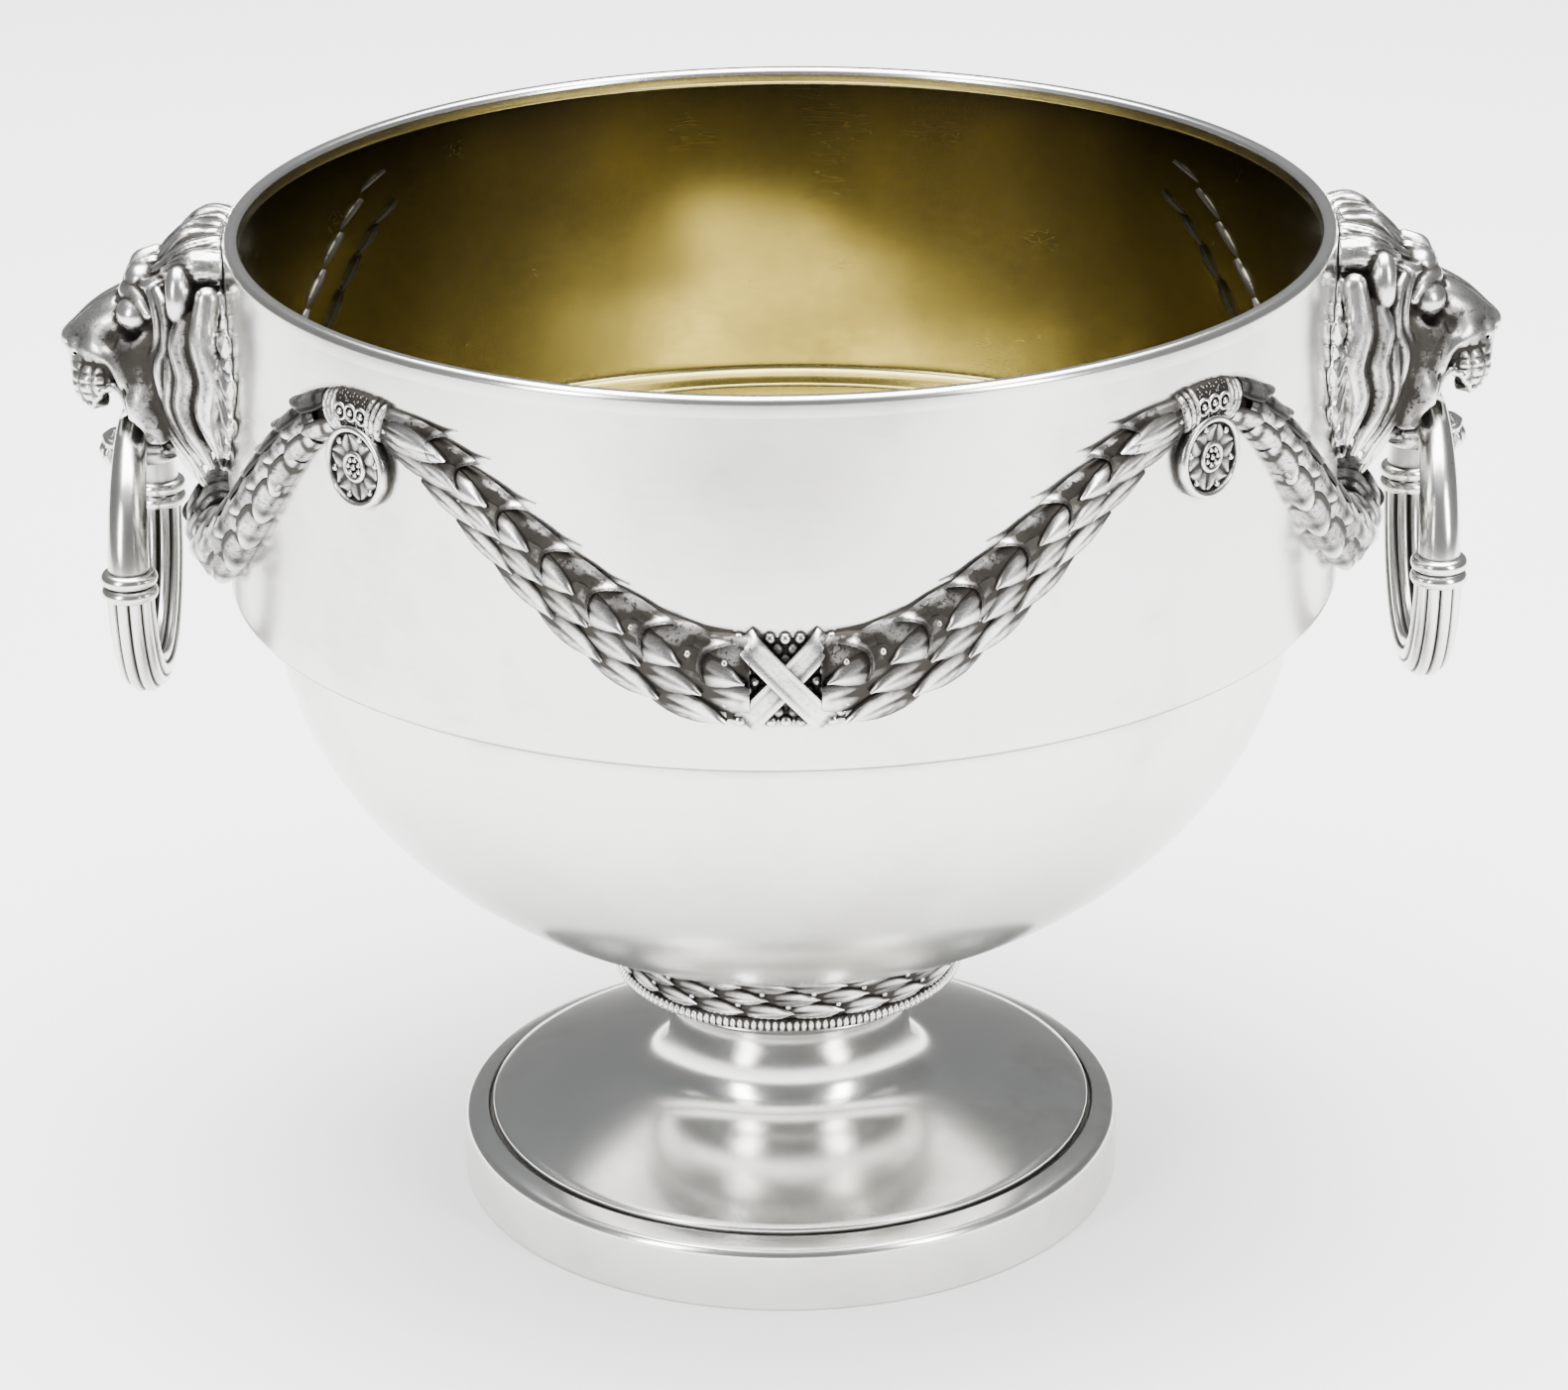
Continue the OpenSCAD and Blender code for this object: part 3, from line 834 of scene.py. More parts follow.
def husk_surface(u, v):
    """A cupped granular husk, with a raised upper edge and a bright lip that curls out."""
    wide = 5.0 * shape_of(u, 0.5, 0.7, 0.88, 1.0, 1.04, 1.16)
    lip = np.clip((u - 0.87) / 0.13, 0, 1)
    edge = bell(v, -0.9, 0.16) * shape_of(u, 0, 0.5, 1, 1)
    x = FOLIAGE * u - 3.4 * (1 - v * v) * u**3 + 1.6 * lip * np.clip(-v, 0, 1)
    z = 2.2 * np.sqrt(np.clip(1.02 - v * v, 0, 1)) + 0.4 * u - 1.2 * bell(u, 0.74, 0.22) * bell(v, 0, 0.7)
    z = z + 1.2 * lip + 1.1 * edge
    hollow = 0.45 * bell(u, 0.80, 0.12) + 0.22 * bell(u, 0.55, 0.3) + 0.9 * bell(u, 0, 0.12)
    hollow = hollow - 0.8 * lip - 0.5 * edge + 0.5 * bell(v, 1, 0.25)
    return x, v * wide, z, hollow, bell(u, 0.6, 0.3) * (1 - lip) * (np.abs(v) < 0.8)


def leaf_surface(u, v):
    """A broad pointed leaf, smooth, with a fine sunk midrib."""
    wide = 4.1 * shape_of(u, 0.4, 0.8, 1.0, 1.0, 0.86, 0.55, 0.05)
    z = 1.1 + 0.9 * (1 - v * v) + 1.3 * u * (1 - 0.4 * u) - 0.4 * bell(v, 0, 0.10) * (1 - u)
    hollow = 0.55 * bell(v, 0, 0.10) * (1 - u) + 0.85 * bell(u, 0, 0.14)
    hollow = hollow + 0.3 * bell(u, 0.2, 0.2) * bell(v, 0, 0.5)
    hollow = hollow + 0.6 * bell(np.abs(v), 1, 0.13) + 0.12
    return FOLIAGE * u, v * wide, z, hollow, 0.15 * bell(np.abs(v), 0.5, 0.3)


def scale_surface(u, v):
    """A broad leaf like a scale, bright at its lip and dark where the one before it ends."""
    wide = 5.0 * shape_of(u, 0.75, 0.95, 1.0, 1.0, 0.92, 0.66)
    lip = np.clip((u - 0.88) / 0.12, 0, 1)
    z = 2.9 * (1 - v * v) - 0.9 - 0.4 * bell(u, 0.78, 0.13) * bell(v, 0, 0.6)
    z = z - 0.35 * bell(v, 0, 0.12) * (1 - u) + 0.35 * lip + 1.0 * u
    covered = 0.29 - 0.18 * v * v
    hollow = 0.85 * bell(u, covered, 0.06) * bell(v, 0, 0.9) + 0.7 * bell(np.abs(v), 1, 0.14)
    hollow = hollow + 0.3 * bell(u, 0.82, 0.07) * bell(v, 0, 0.6) - 0.4 * lip
    hollow = hollow + 0.5 * bell(v, 0, 0.1) * (1 - u) + 0.12
    return 10.4 * u + 2.6 * u**3 * (1 - v * v), v * wide, z, hollow, 0.5 * bell(u, 0.6, 0.2)


def petal_surface(u, v):
    """A rounded rosette petal with a pinched middle."""
    wide = 2.0 * shape_of(u, 0.3, 0.75, 1.0, 0.85, 0.3)
    z = 0.9 + 0.6 * (1 - v * v) - 0.6 * bell(v, 0, 0.25) * u + 0.5 * u
    return 1.9 + 4.6 * u, v * wide, z, 0.6 * bell(v, 0, 0.2) + 0.5 * bell(u, 0, 0.2), 0.3 * u


def ribbon_surface(u, v):
    """A flat ribbon that arches over what it binds, with a raised edge on each side."""
    arch = np.sqrt(np.clip(1 - (2 * u - 1) ** 2, 0.0, 1)) ** 0.5
    z = 0.9 + 2.2 * arch + 0.35 * bell(np.abs(v), 0.85, 0.14)
    return 24 * (u - 0.5), v * 2.3, z, 0.35 * bell(np.abs(v), 0.6, 0.15), 0.3 * bell(v, 0, 0.5)


def make_berry(name, around, rings):
    """A ball of radius 1 on its centre, dark below its widest circle."""
    points, faces = [(0, 0, 1.0)], []
    for k in range(1, rings):
        tilt = math.pi * k / rings
        for j in range(around):
            turn = 2 * math.pi * j / around
            r = math.sin(tilt)
            points.append((r * math.cos(turn), r * math.sin(turn), math.cos(tilt)))
    points.append((0, 0, -1.0))
    last = len(points) - 1
    for j in range(around):
        n = (j + 1) % around
        faces.append((0, 1 + j, 1 + n))
        faces.append((last, last - around + n, last - around + j))
        for k in range(rings - 2):
            a, b = 1 + k * around, 1 + (k + 1) * around
            faces.append((a + j, b + j, b + n, a + n))
    heights = np.array(points)[:, 2]
    return keep_ornament(name, points, faces, np.clip(0.55 - heights, 0, 1), 0 * heights)


def make_hoop(wire=0.22, around=20, sides=8):
    """A wire hoop of radius 1 that lies flat."""
    turn = (np.arange(around) * 2 * math.pi / around)[:, None]
    spin = np.arange(sides) * 2 * math.pi / sides
    r = 1.0 + wire * np.cos(spin) + 0 * turn
    points = np.stack([r * np.cos(turn), r * np.sin(turn), wire * np.sin(spin) + 0 * turn], -1)
    points = points.reshape(-1, 3)
    faces = woven_faces(around, sides, closed=True, flip=True)
    heights = points[:, 2] / wire
    return keep_ornament("hoop", points, faces, np.clip(0.3 - heights, 0, 1), 0 * heights)


ORNAMENTS = {
    "husk": lambda: shell("husk", husk_surface, along=13),
    "leaf": lambda: shell("leaf", leaf_surface, along=13),
    "scale": lambda: shell("scale", scale_surface, along=19),
    "petal": lambda: shell("petal", petal_surface, along=13),
    "ribbon": lambda: shell("ribbon", ribbon_surface, along=13),
    "berry": lambda: make_berry("berry", around=10, rings=6),
    "grain": lambda: make_berry("grain", around=6, rings=4),
    "hoop": make_hoop,
}


@cache
def ornament(kind):
    """One of the shared ornaments, made the first time it is asked for."""
    return ORNAMENTS[kind]()


def geometry_tree(name, inputs, output):
    """A new geometry tree with its named inputs and one output, and its net."""
    tree = bpy.data.node_groups.new(name, "GeometryNodeTree")
    for label, kind in inputs.items():
        tree.interface.new_socket(label, in_out="INPUT", socket_type="NodeSocket" + kind)
    tree.interface.new_socket(output, in_out="OUTPUT", socket_type="NodeSocketGeometry")
    net = Net(tree)
    return tree, net, net.add("NodeGroupInput").outputs, net.add("NodeGroupOutput").inputs


@cache
def placing_tree():
    """Geometry nodes that set an ornament on every point, turned and stretched by its attributes."""
    tree, net, given, result = geometry_tree(
        "Place ornaments",
        {"Points": "Geometry", "Ornament": "Object", "Size": "Float", "Metal": "Material"},
        "Placed",
    )
    turn, stretch = (
        net.add("GeometryNodeInputNamedAttribute", {"Name": name}, data_type="FLOAT_VECTOR").outputs[0]
        for name in ("turn", "stretch")
    )
    info = net.add("GeometryNodeObjectInfo", {"Object": given["Ornament"]})
    spin = net.add("FunctionNodeEulerToRotation", {0: turn}).outputs[0]
    scale = net.vector("SCALE", stretch, given["Size"])
    placed = net.add("GeometryNodeInstanceOnPoints", {
        "Points": given["Points"], "Instance": info.outputs["Geometry"], "Rotation": spin, "Scale": scale,
    }).outputs["Instances"]
    real = net.add("GeometryNodeRealizeInstances", {"Geometry": placed}).outputs["Geometry"]
    metal = net.add("GeometryNodeSetMaterial", {"Geometry": real, "Material": given["Metal"]})
    net.put(metal.outputs["Geometry"], result["Placed"])
    return tree


def plain_mesh(thing, tree, inputs):
    """Run a geometry tree on an object with its named inputs, and hand back the plain mesh."""
    items = [item for item in tree.interface.items_tree if item.in_out == "INPUT"]
    sockets = {item.name: item.identifier for item in items}
    modifier = thing.modifiers.new("shape", "NODES")
    modifier.node_group = tree
    for label, value in inputs.items():
        modifier[sockets[label]] = value
    scene = bpy.context.scene.collection
    scene.objects.link(thing)
    shown = [value for value in inputs.values() if isinstance(value, bpy.types.Object)]
    for helper in shown:
        scene.objects.link(helper)
    depsgraph = bpy.context.evaluated_depsgraph_get()
    mesh = bpy.data.meshes.new_from_object(thing.evaluated_get(depsgraph))
    thing.modifiers.remove(modifier)
    for helper in shown:
        scene.objects.unlink(helper)
    bpy.data.objects.remove(thing)
    return mesh


def read_mesh(mesh):
    """Points, faces and the two attributes of a mesh, as arrays."""
    faces = [tuple(p.vertices) for p in mesh.polygons]
    layers = [attribute_values(mesh, name) for name in ("hollow", "matt")]
    return vertex_array(mesh).astype(float), faces, *layers


def upright(x, y, z, wide, high=None):
    """A spot for an ornament that is neither turned nor leaning, with its width and height."""
    return x, y, z, 0, 0, 0, wide, wide, wide if high is None else high


class Relief:
    """Shapes gathered in flat coordinates, in mm: x round the wall, y up it and z off it."""

    def __init__(self):
        self.points, self.faces, self.hollow, self.matt = [], [], [], []
        self.count = 0

    def add(self, points, faces, hollow, matt):
        """Add a shape, with hollow and matt for each point or for all of them."""
        self.points.append(np.asarray(points, float))
        self.faces.extend(tuple(int(i) + self.count for i in f) for f in faces)
        self.hollow.append(np.broadcast_to(hollow, len(points)))
        self.matt.append(np.broadcast_to(matt, len(points)))
        self.count += len(points)

    def set_out(self, kind, spots):
        """Put an ornament on spots of (x, y, z, heading, tilt, roll, and three stretches)."""
        spots = np.array(spots, float)
        mesh = bpy.data.meshes.new("spots")
        mesh.from_pydata([tuple(p) for p in spots[:, :3]], [], [])
        turns = np.stack([spots[:, 5], -spots[:, 4], spots[:, 3]], -1)
        for name, values in (("turn", turns), ("stretch", spots[:, 6:9])):
            layer = mesh.attributes.new(name, "FLOAT_VECTOR", "POINT")
            layer.data.foreach_set("vector", values.astype(np.float32).ravel())
        inputs = {"Ornament": ornament(kind), "Size": 1.0, "Metal": finish_material("cast_silver")}
        mesh = plain_mesh(bpy.data.objects.new("spots", mesh), placing_tree(), inputs)
        self.add(*read_mesh(mesh))
        bpy.data.meshes.remove(mesh)

    def band(self, line, wide, proud, hollow=0.7, sides=9):
        """A half-round band along a line of (x, y), closed at its ends."""
        line = np.array(line, float)
        ahead = np.gradient(line, axis=0)
        ahead /= np.linalg.norm(ahead, axis=1, keepdims=True)
        left = np.stack([-ahead[:, 1], ahead[:, 0]], -1)
        wide, proud = (np.broadcast_to(value, len(line)) for value in (wide, proud))
        turn = np.linspace(0, math.pi, sides)
        across = -np.cos(turn)
        flat = line[:, None] + left[:, None] * (wide[:, None] / 2 * across)[..., None]
        rise = proud[:, None] * np.sin(turn) + 0.05
        points = np.concatenate([flat, rise[..., None]], -1).reshape(-1, 3)
        faces = [tuple(q) for q in grid_faces(len(line), sides)]
        last = (len(line) - 1) * sides
        faces += [tuple(range(sides)), tuple(range(last + sides - 1, last - 1, -1))]
        faces += [(k * sides, k * sides + sides - 1, (k + 1) * sides + sides - 1, (k + 1) * sides)
                  for k in range(len(line) - 1)]
        self.add(points, faces, hollow, 1.0)

    def arrays(self):
        """All the points, faces, hollow and matt."""
        return (np.vstack(self.points), self.faces, np.concatenate(self.hollow),
                np.concatenate(self.matt))


def wrapped(points):
    """Flat coordinates laid round the drum."""
    turn = points[:, 0] / WALL_R
    r = wall_radius(points[:, 1]) + points[:, 2]
    return np.stack([r * np.sin(turn), -r * np.cos(turn), points[:, 1]], -1)


def box_blur(grid, reach, rounds=2):
    """Average a grid over a square that reaches so many cells each way."""
    for _ in range(rounds):
        for axis in range(grid.ndim):
            pad = [(reach + 1, reach) if k == axis else (0, 0) for k in range(grid.ndim)]
            total = np.cumsum(np.pad(grid, pad, mode="edge"), axis=axis, dtype=np.float64)
            total = np.moveaxis(total, axis, 0)
            width = 2 * reach + 1
            grid = np.moveaxis((total[width:] - total[:-width]) / width, 0, axis)
    return grid


def relief_hollow(points, faces, hollow):
    """Darken what lies lower than the relief round it."""
    low_corner = points[:, :2].min(0) - 6
    size = np.ceil((points[:, :2].max(0) + 6 - low_corner) / CELL).astype(int) + 1
    tops = np.zeros(size)
    middles = np.array([points[list(f)].mean(0) for f in faces])
    for cloud in (points, middles):
        cell = ((cloud[:, :2] - low_corner) / CELL).astype(int)
        np.maximum.at(tops, (cell[:, 0], cell[:, 1]), cloud[:, 2])
    tops = grown(tops)
    cell = ((points[:, :2] - low_corner) / CELL).astype(int)
    fine = box_blur(tops, 2)[cell[:, 0], cell[:, 1]] - points[:, 2]
    broad = box_blur(tops, 7)[cell[:, 0], cell[:, 1]] - points[:, 2]
    deep = np.clip(fine / 1.4, -0.3, 1) + 0.22 * np.clip(broad, -0.5, 3)
    return np.clip(0.75 * hollow + deep, 0, 1)


TURNS = {
    "front_right": (1, 1), "front_left": (-1, 1), "back_left": (-1, -1), "back_right": (1, -1),
    "right": (1, 1), "left": (-1, 1), "front": (1, 1), "back": (-1, -1),
}


def wall_piece(name, relief, node, place):
    """Lay a relief on the drum, turned or mirrored to its place, as the piece for one node."""
    points, faces, hollow, matt = relief
    sx, sy = TURNS[place]
    if sx * sy < 0:
        faces = [f[::-1] for f in faces]
    placed = wrapped(points) * (sx, sy, 1)
    mesh = new_mesh(name, placed * MM, faces, crease=50)
    set_attribute(mesh, "hollow", hollow)
    set_attribute(mesh, "matt", matt)
    finish_piece(new_object(name, mesh), "bucket", "cast_silver", node)
    SHADE_CASTERS.append(placed)


def kept_back(points):
    """Flatten whatever would stand further forward than the garland's highest ribbon."""
    reach = FRONT_REACH / np.maximum(np.cos(points[:, 0] / WALL_R), 0.2)
    limit = reach - wall_radius(points[:, 1])
    points[:, 2] = np.minimum(points[:, 2], limit)
    return points


# ---------------------------------------------------------------------------------------------
# Garland
# ---------------------------------------------------------------------------------------------


def arch_height(turn):
    """Height of the garland's centreline, in mm, at degrees round from the front."""
    garland = settings("garland")
    low_z, side_z, top_z = mm(garland.low), mm(garland.side_low), mm(garland.top)
    turn = np.abs(np.asarray(turn, float))
    eighth = 45
    share = np.clip(turn / eighth, 0, 1)
    front = low_z + (top_z - low_z) * (1 - np.cos(math.pi * share**1.15)) / 2
    away = np.clip(np.abs(2 * eighth - turn) / eighth, 0, 1)
    side = side_z + (top_z - side_z) * (1 - np.cos(math.pi * away**1.4)) / 2
    return np.where(turn < eighth, front, side)


def arch_line(start, end, count=60):
    """Points of the garland's centreline between two turns in degrees, in flat coordinates."""
    turn = np.linspace(start, end, count)
    return np.stack([np.radians(turn) * WALL_R, arch_height(turn)], -1)


class Path:
    """A line with its length, for setting ornaments along it."""

    def __init__(self, line):
        self.line = line
        steps = np.linalg.norm(np.diff(line, axis=0), axis=1)
        self.along = np.concatenate([[0], np.cumsum(steps)])
        self.length = self.along[-1]

    def point(self, distance):
        """The point at a distance along the line."""
        return [np.interp(distance, self.along, self.line[:, k]) for k in (0, 1)]

    def at(self, distance, aside=0.0):
        """Point and heading at a distance along the line, moved to its left."""
        x, y = self.point(distance)
        (x1, y1), (x2, y2) = self.point(distance - 0.5), self.point(distance + 0.5)
        heading = math.atan2(y2 - y1, x2 - x1)
        return x - aside * math.sin(heading), y + aside * math.cos(heading), heading


def front_swag():
    """Half of a front swag: husks along the top and three rows of leaves, tips to the front."""
    full, narrow = mm(settings("garland").width), 8.4
    before = -9.0
    relief = Relief()
    line = arch_line(TIE_EDGE, FRONT_END)
    path = Path(line)

    def wide_at(distance):
        return full - (full - narrow) * (np.clip(distance, 0, None) / path.length) ** 1.1

    def spot_at(distance, aside):
        return path.at(float(np.clip(distance, before, path.length)), aside)

    relief.band(line, wide_at(path.along) * 0.94, 1.7, hollow=1.0)
    husks, leaves, berries = [], [], []
    here = before
    while here < path.length - 3:
        size = 0.42 + 0.58 * wide_at(max(here, 0)) / full
        long = LEAF_PITCH * (0.5 + 0.5 * size)
        wide = wide_at(here + long / 2)
        stretch = long * 1.36 / FOLIAGE
        for kind, share, aside, z, lean, roll, broad in (
            (husks, 1.24, 0.28, 0.6, 0.0, 0.25, 0.95),
            (leaves, 1.70, 0.04, 1.3, -0.10, 0.05, 0.98),
            (leaves, 1.20, -0.17, 1.1, -0.10, -0.12, 0.98),
            (leaves, 1.70, -0.35, 0.5, -0.06, -0.35, 0.9),
        ):
            x, y, heading = spot_at(here + share * long, aside * wide)
            heading += math.pi + lean
            kind.append((x, y, z, heading, 0.05, roll, stretch, broad * size, size))
        for share, aside, z in ((0.30, 0.17, 3.0), (0.86, -0.06, 3.2), (0.36, -0.26, 2.7)):
            x, y, _ = spot_at(here + share * long, aside * wide)
            berries.append(upright(x, y, z * size, size))
        here += long
    for kind, spots in (("husk", husks), ("leaf", leaves), ("berry", berries)):
        relief.set_out(kind, spots)
    points, faces, hollow, matt = relief.arrays()
    overlap = 2.3
    points[:, 0] = np.maximum(points[:, 0], np.radians(TIE_EDGE - overlap) * WALL_R)
    points = kept_back(points)
    return points, faces, relief_hollow(points, faces, hollow + 0.1), matt


def side_swag():
    """The swag below a lion: a thick roll of overlapping scales that meet under the mask."""
    garland = settings("garland")
    relief = Relief()
    path = Path(arch_line(SIDE_START, 90))

    def left_at(distance):
        return 1 - np.clip(distance, 0, path.length) / path.length

    def wide_at(distance):
        return 15.5 - 6.5 * left_at(distance) ** 1.2

    def proud_at(distance):
        return mm(garland.side_proud) - 7.8 * left_at(distance) ** 0.9

    scales, berries = [], []
    here = 0.5
    while here < path.length - 2:
        wide, proud = 0.45 * wide_at(here), proud_at(here) - 2.4
        size = wide_at(here) / 13.5
        for number, lean in enumerate((-72, 0, 72)):
            shift = 0.5 * SCALE_PITCH * size * (number % 2)
            across = wide * math.sin(math.radians(lean))
            up = proud * math.cos(math.radians(lean))
            turn = math.atan2(proud * across / wide, wide * up / proud)
            x, y, heading = path.at(here + shift, -across)
            fit = min(1.0, (path.length - here - shift) / (FOLIAGE * size) + 0.25)
            stretch = (1.5 * size * fit, 1.12 * size, 0.85 * size)
            scales.append((x, y, up, heading, 0.06, turn, *stretch))
            if number % 2:
                x, y, _ = path.at(here + shift + FOLIAGE * size, -across * 1.1)
                berries.append(upright(x, y, up + 1.4, 0.8 * size))
        here += SCALE_PITCH * size
    relief.set_out("scale", scales)
    relief.set_out("berry", berries)
    points, faces, hollow, matt = relief.arrays()
    middle = math.pi / 2 * WALL_R
    hollow = np.where(points[:, 0] > middle, 0.4, hollow)
    points[:, 0] = np.minimum(points[:, 0], middle)
    mirror = points * (-1, 1, 1) + (2 * middle, 0, 0)
    both = Relief()
    steps = 90
    along = path.length - np.abs(np.linspace(-1, 1, steps)) * path.length
    core = arch_line(SIDE_START, 180 - SIDE_START, steps)
    both.band(core, wide_at(along) * 0.82, proud_at(along) - 3.4, hollow=0.9)
    both.add(points, faces, hollow, matt)
    both.add(mirror, [f[::-1] for f in faces], hollow, matt)
    points, faces, hollow, matt = both.arrays()
    return points, faces, np.clip(hollow + 0.06, 0, 1), matt


def ribbon_tie():
    """Two ribbons crossed over a bunch of berries, between the two halves of a swag."""
    relief = Relief()
    reach = np.radians(TIE_EDGE) * WALL_R
    base = float(arch_height(0))
    line = np.stack([np.linspace(-reach, reach, 24), np.full(24, base)], -1)
    relief.band(line, 19, 1.0, hollow=1.0)
    rows = []
    for i in range(-3, 4):
        for j in range(-4, 5):
            x, y = 3.3 * i + 1.65 * (j % 2), 2.35 * j
            if abs(x) < reach - 1.2 and abs(y) < 9.6:
                height = 0.4 + 0.6 * math.cos(math.pi * y / 22)
                rows.append(upright(x, base + y, height, 1.5, 1.2))
    relief.set_out("berry", rows)
    slope = math.radians(48)
    relief.set_out("ribbon", [
        (0, base, 0.0, slope, 0, 0, 1.12, 1.2, 0.9),
        (0, base, 0.25, -slope, 0, 0, 1.12, 1.2, 0.95),
    ])
    points, faces, hollow, matt = relief.arrays()
    points[:, 0] = np.clip(points[:, 0], -reach, reach)
    points = kept_back(np.maximum(points, (-999, -999, 0.03)))
    return points, faces, relief_hollow(points, faces, hollow), matt


def binding():
    """The band where two swags meet: ringed dots on granular ground, between triple wires."""
    relief = Relief()
    line = arch_line(FRONT_END, SIDE_START, 24)
    path = Path(line)
    wide, proud, spacing = 9.4, 3.0, 3.4
    relief.band(line, wide - 0.5, proud - 0.4, hollow=0.5, sides=15)
    for middle in (1.0, 2.5, 4.0, path.length - 4.0, path.length - 2.5, path.length - 1.0):
        near = [path.at(middle + d)[:2] for d in (-0.72, -0.5, 0, 0.5, 0.72)]
        swell = np.array([0.0, 0.72, 1.0, 0.72, 0.0])
        relief.band(near, wide - 0.5 + 0.9 * swell, proud - 0.5 + 1.1 * swell, hollow=0.0, sides=15)
    dots, hoops, grains = [], [], []
    for share in (-1, 0, 1):
        x, y, _ = path.at(path.length / 2 + spacing * share)
        dots.append(upright(x, y, proud - 0.1, 0.8, 0.7))
        hoops.append(upright(x, y, proud - 0.15, 1.75, 1.8))
    chance = np.random.default_rng(4)
    ring_room = 2.1
    for _ in range(110):
        along, aside = chance.uniform(5.1, path.length - 5.1), chance.uniform(-0.47, 0.47) * wide
        x, y, _ = path.at(along, aside)
        off_dot = min(abs(along - path.length / 2 - spacing * k) for k in (-1, 0, 1))
        if off_dot < ring_room and abs(aside) < ring_room:
            continue
        height = (proud - 0.4) * math.sqrt(max(0, 1 - (aside / (wide / 2)) ** 2))
        grains.append(upright(x, y, height, 0.27))
    for kind, spots in (("berry", dots), ("hoop", hoops), ("grain", grains)):
        relief.set_out(kind, spots)
    points, faces, hollow, matt = relief.arrays()
    points[:, 2] = np.clip(points[:, 2], 0.03, 4.2)
    return points, faces, relief_hollow(points, faces, hollow * 0.8), matt


def rosette():
    """A round boss with a raised rim, petals, pearls and a bunch of seeds in a ring."""
    relief = Relief()
    middle_x, middle_y = math.pi / 4 * WALL_R, 219.6
    radii = np.array([9.6, 9.6, 9.3, 8.7, 8.1, 7.8, 7.2, 0.0])
    rises = np.array([0.03, 2.0, 2.7, 2.95, 2.7, 1.7, 1.5, 1.55])
    around = 64
    turn = np.arange(around) * 2 * math.pi / around
    x = middle_x + radii[:, None] * np.cos(turn)
    y = middle_y + radii[:, None] * np.sin(turn)
    points = np.stack([x, y, np.repeat(rises[:, None], around, 1)], -1).reshape(-1, 3)
    faces = woven_faces(len(radii), around, closed=False)
    relief.add(points, faces, np.repeat([0.5, 0.2, 0, 0, 0.1, 0.8, 0.7, 0.4], around),
               np.repeat([0, 0, 0, 0, 0, 1, 1, 1], around))

    def round_middle(r, angle, z, wide, high):
        x, y = middle_x + r * math.cos(angle), middle_y + r * math.sin(angle)
        return upright(x, y, z, wide, high)

    petals, pearls = [], []
    for k in range(6):
        angle = math.radians(60 * k + 15)
        petals.append((middle_x, middle_y, 0.6, angle, 0, 0, 1.12, 2.0, 1.0))
        pearls.append(round_middle(6.9, angle + math.radians(30), 1.9, 0.9, 0.8))
    seeds = [upright(middle_x, middle_y, 2.4, 0.75, 0.5)]
    for k in range(7):
        seeds.append(round_middle(1.75, 2 * math.pi * k / 7, 2.3, 0.7, 0.5))
    relief.set_out("petal", petals)
    relief.set_out("berry", [*pearls, *seeds])
    relief.set_out("hoop", [upright(middle_x, middle_y, 2.2, 3.0, 2.2)])
    points, faces, hollow, matt = relief.arrays()
    points[:, 2] = np.clip(points[:, 2], 0.03, 3.0)
    return points, faces, relief_hollow(points, faces, hollow), matt


def build_garland():
    """The swags with their ties, bindings and rosettes, each laid in all its places."""
    swag, roll, tie, band, boss = front_swag(), side_swag(), ribbon_tie(), binding(), rosette()
    for place in ("front_left", "front_right", "back_left", "back_right"):
        wall_piece(place + "_swag", swag, "swag_" + place, place)
        wall_piece(place + "_binding", band, "binding_" + place, place)
        wall_piece(place + "_rosette", boss, "rosette_" + place, place)
    for place in ("left", "right"):
        wall_piece(place + "_side_swag", roll, "swag_side_" + place, place)
    for place in ("front", "back"):
        wall_piece(place + "_ribbon_tie", tie, "ribbon_tie_" + place, place)


def build_bead_wire():
    """A row of beads on a plain wire, round the top of the neck."""
    foot = settings("foot")
    middle = mm(foot.neck_top) + BEAD_BAND / 2
    size = mm(foot.bead_size) / 2
    circle = 41.7
    relief = Relief()
    spots = []
    for k in range(foot.beads):
        turn = 2 * math.pi * k / foot.beads
        x, y = circle * math.cos(turn), circle * math.sin(turn)
        spots.append((x, y, middle, turn, 0, 0, 1.45, size, 1.5))
    relief.set_out("berry", spots)
    points, faces, _, _ = relief.arrays()
    hollow = np.clip((42.9 - np.hypot(points[:, 0], points[:, 1])) / 1.8, 0, 1)
    beads = new_mesh("beads", points * MM, faces, crease=80)
    set_attribute(beads, "hollow", hollow)
    half = [(38.7, 1.75), (41.4, 1.75), (42.0, 1.2)]
    outline = [(r, middle - up) for r, up in half] + [(42.1, middle)]
    outline += [(r, middle + up) for r, up in reversed(half)]
    wire = lathe("bead_wire", outline, 128)
    set_attribute(wire.data, "hollow", np.ones(len(wire.data.vertices)))
    both = joined("beads_and_wire", [beads, wire.data])
    bpy.data.objects.remove(wire)
    return finish_piece(both, "bucket", "polished_silver", "bead_wire")


def joined(name, meshes):
    """One object from several meshes, with their attributes."""
    build = Relief()
    for mesh in meshes:
        build.add(*read_mesh(mesh))
    points, faces, hollow, matt = build.arrays()
    mesh = new_mesh(name, points, faces, crease=60)
    set_attribute(mesh, "hollow", hollow)
    set_attribute(mesh, "matt", matt)
    return new_object(name, mesh)


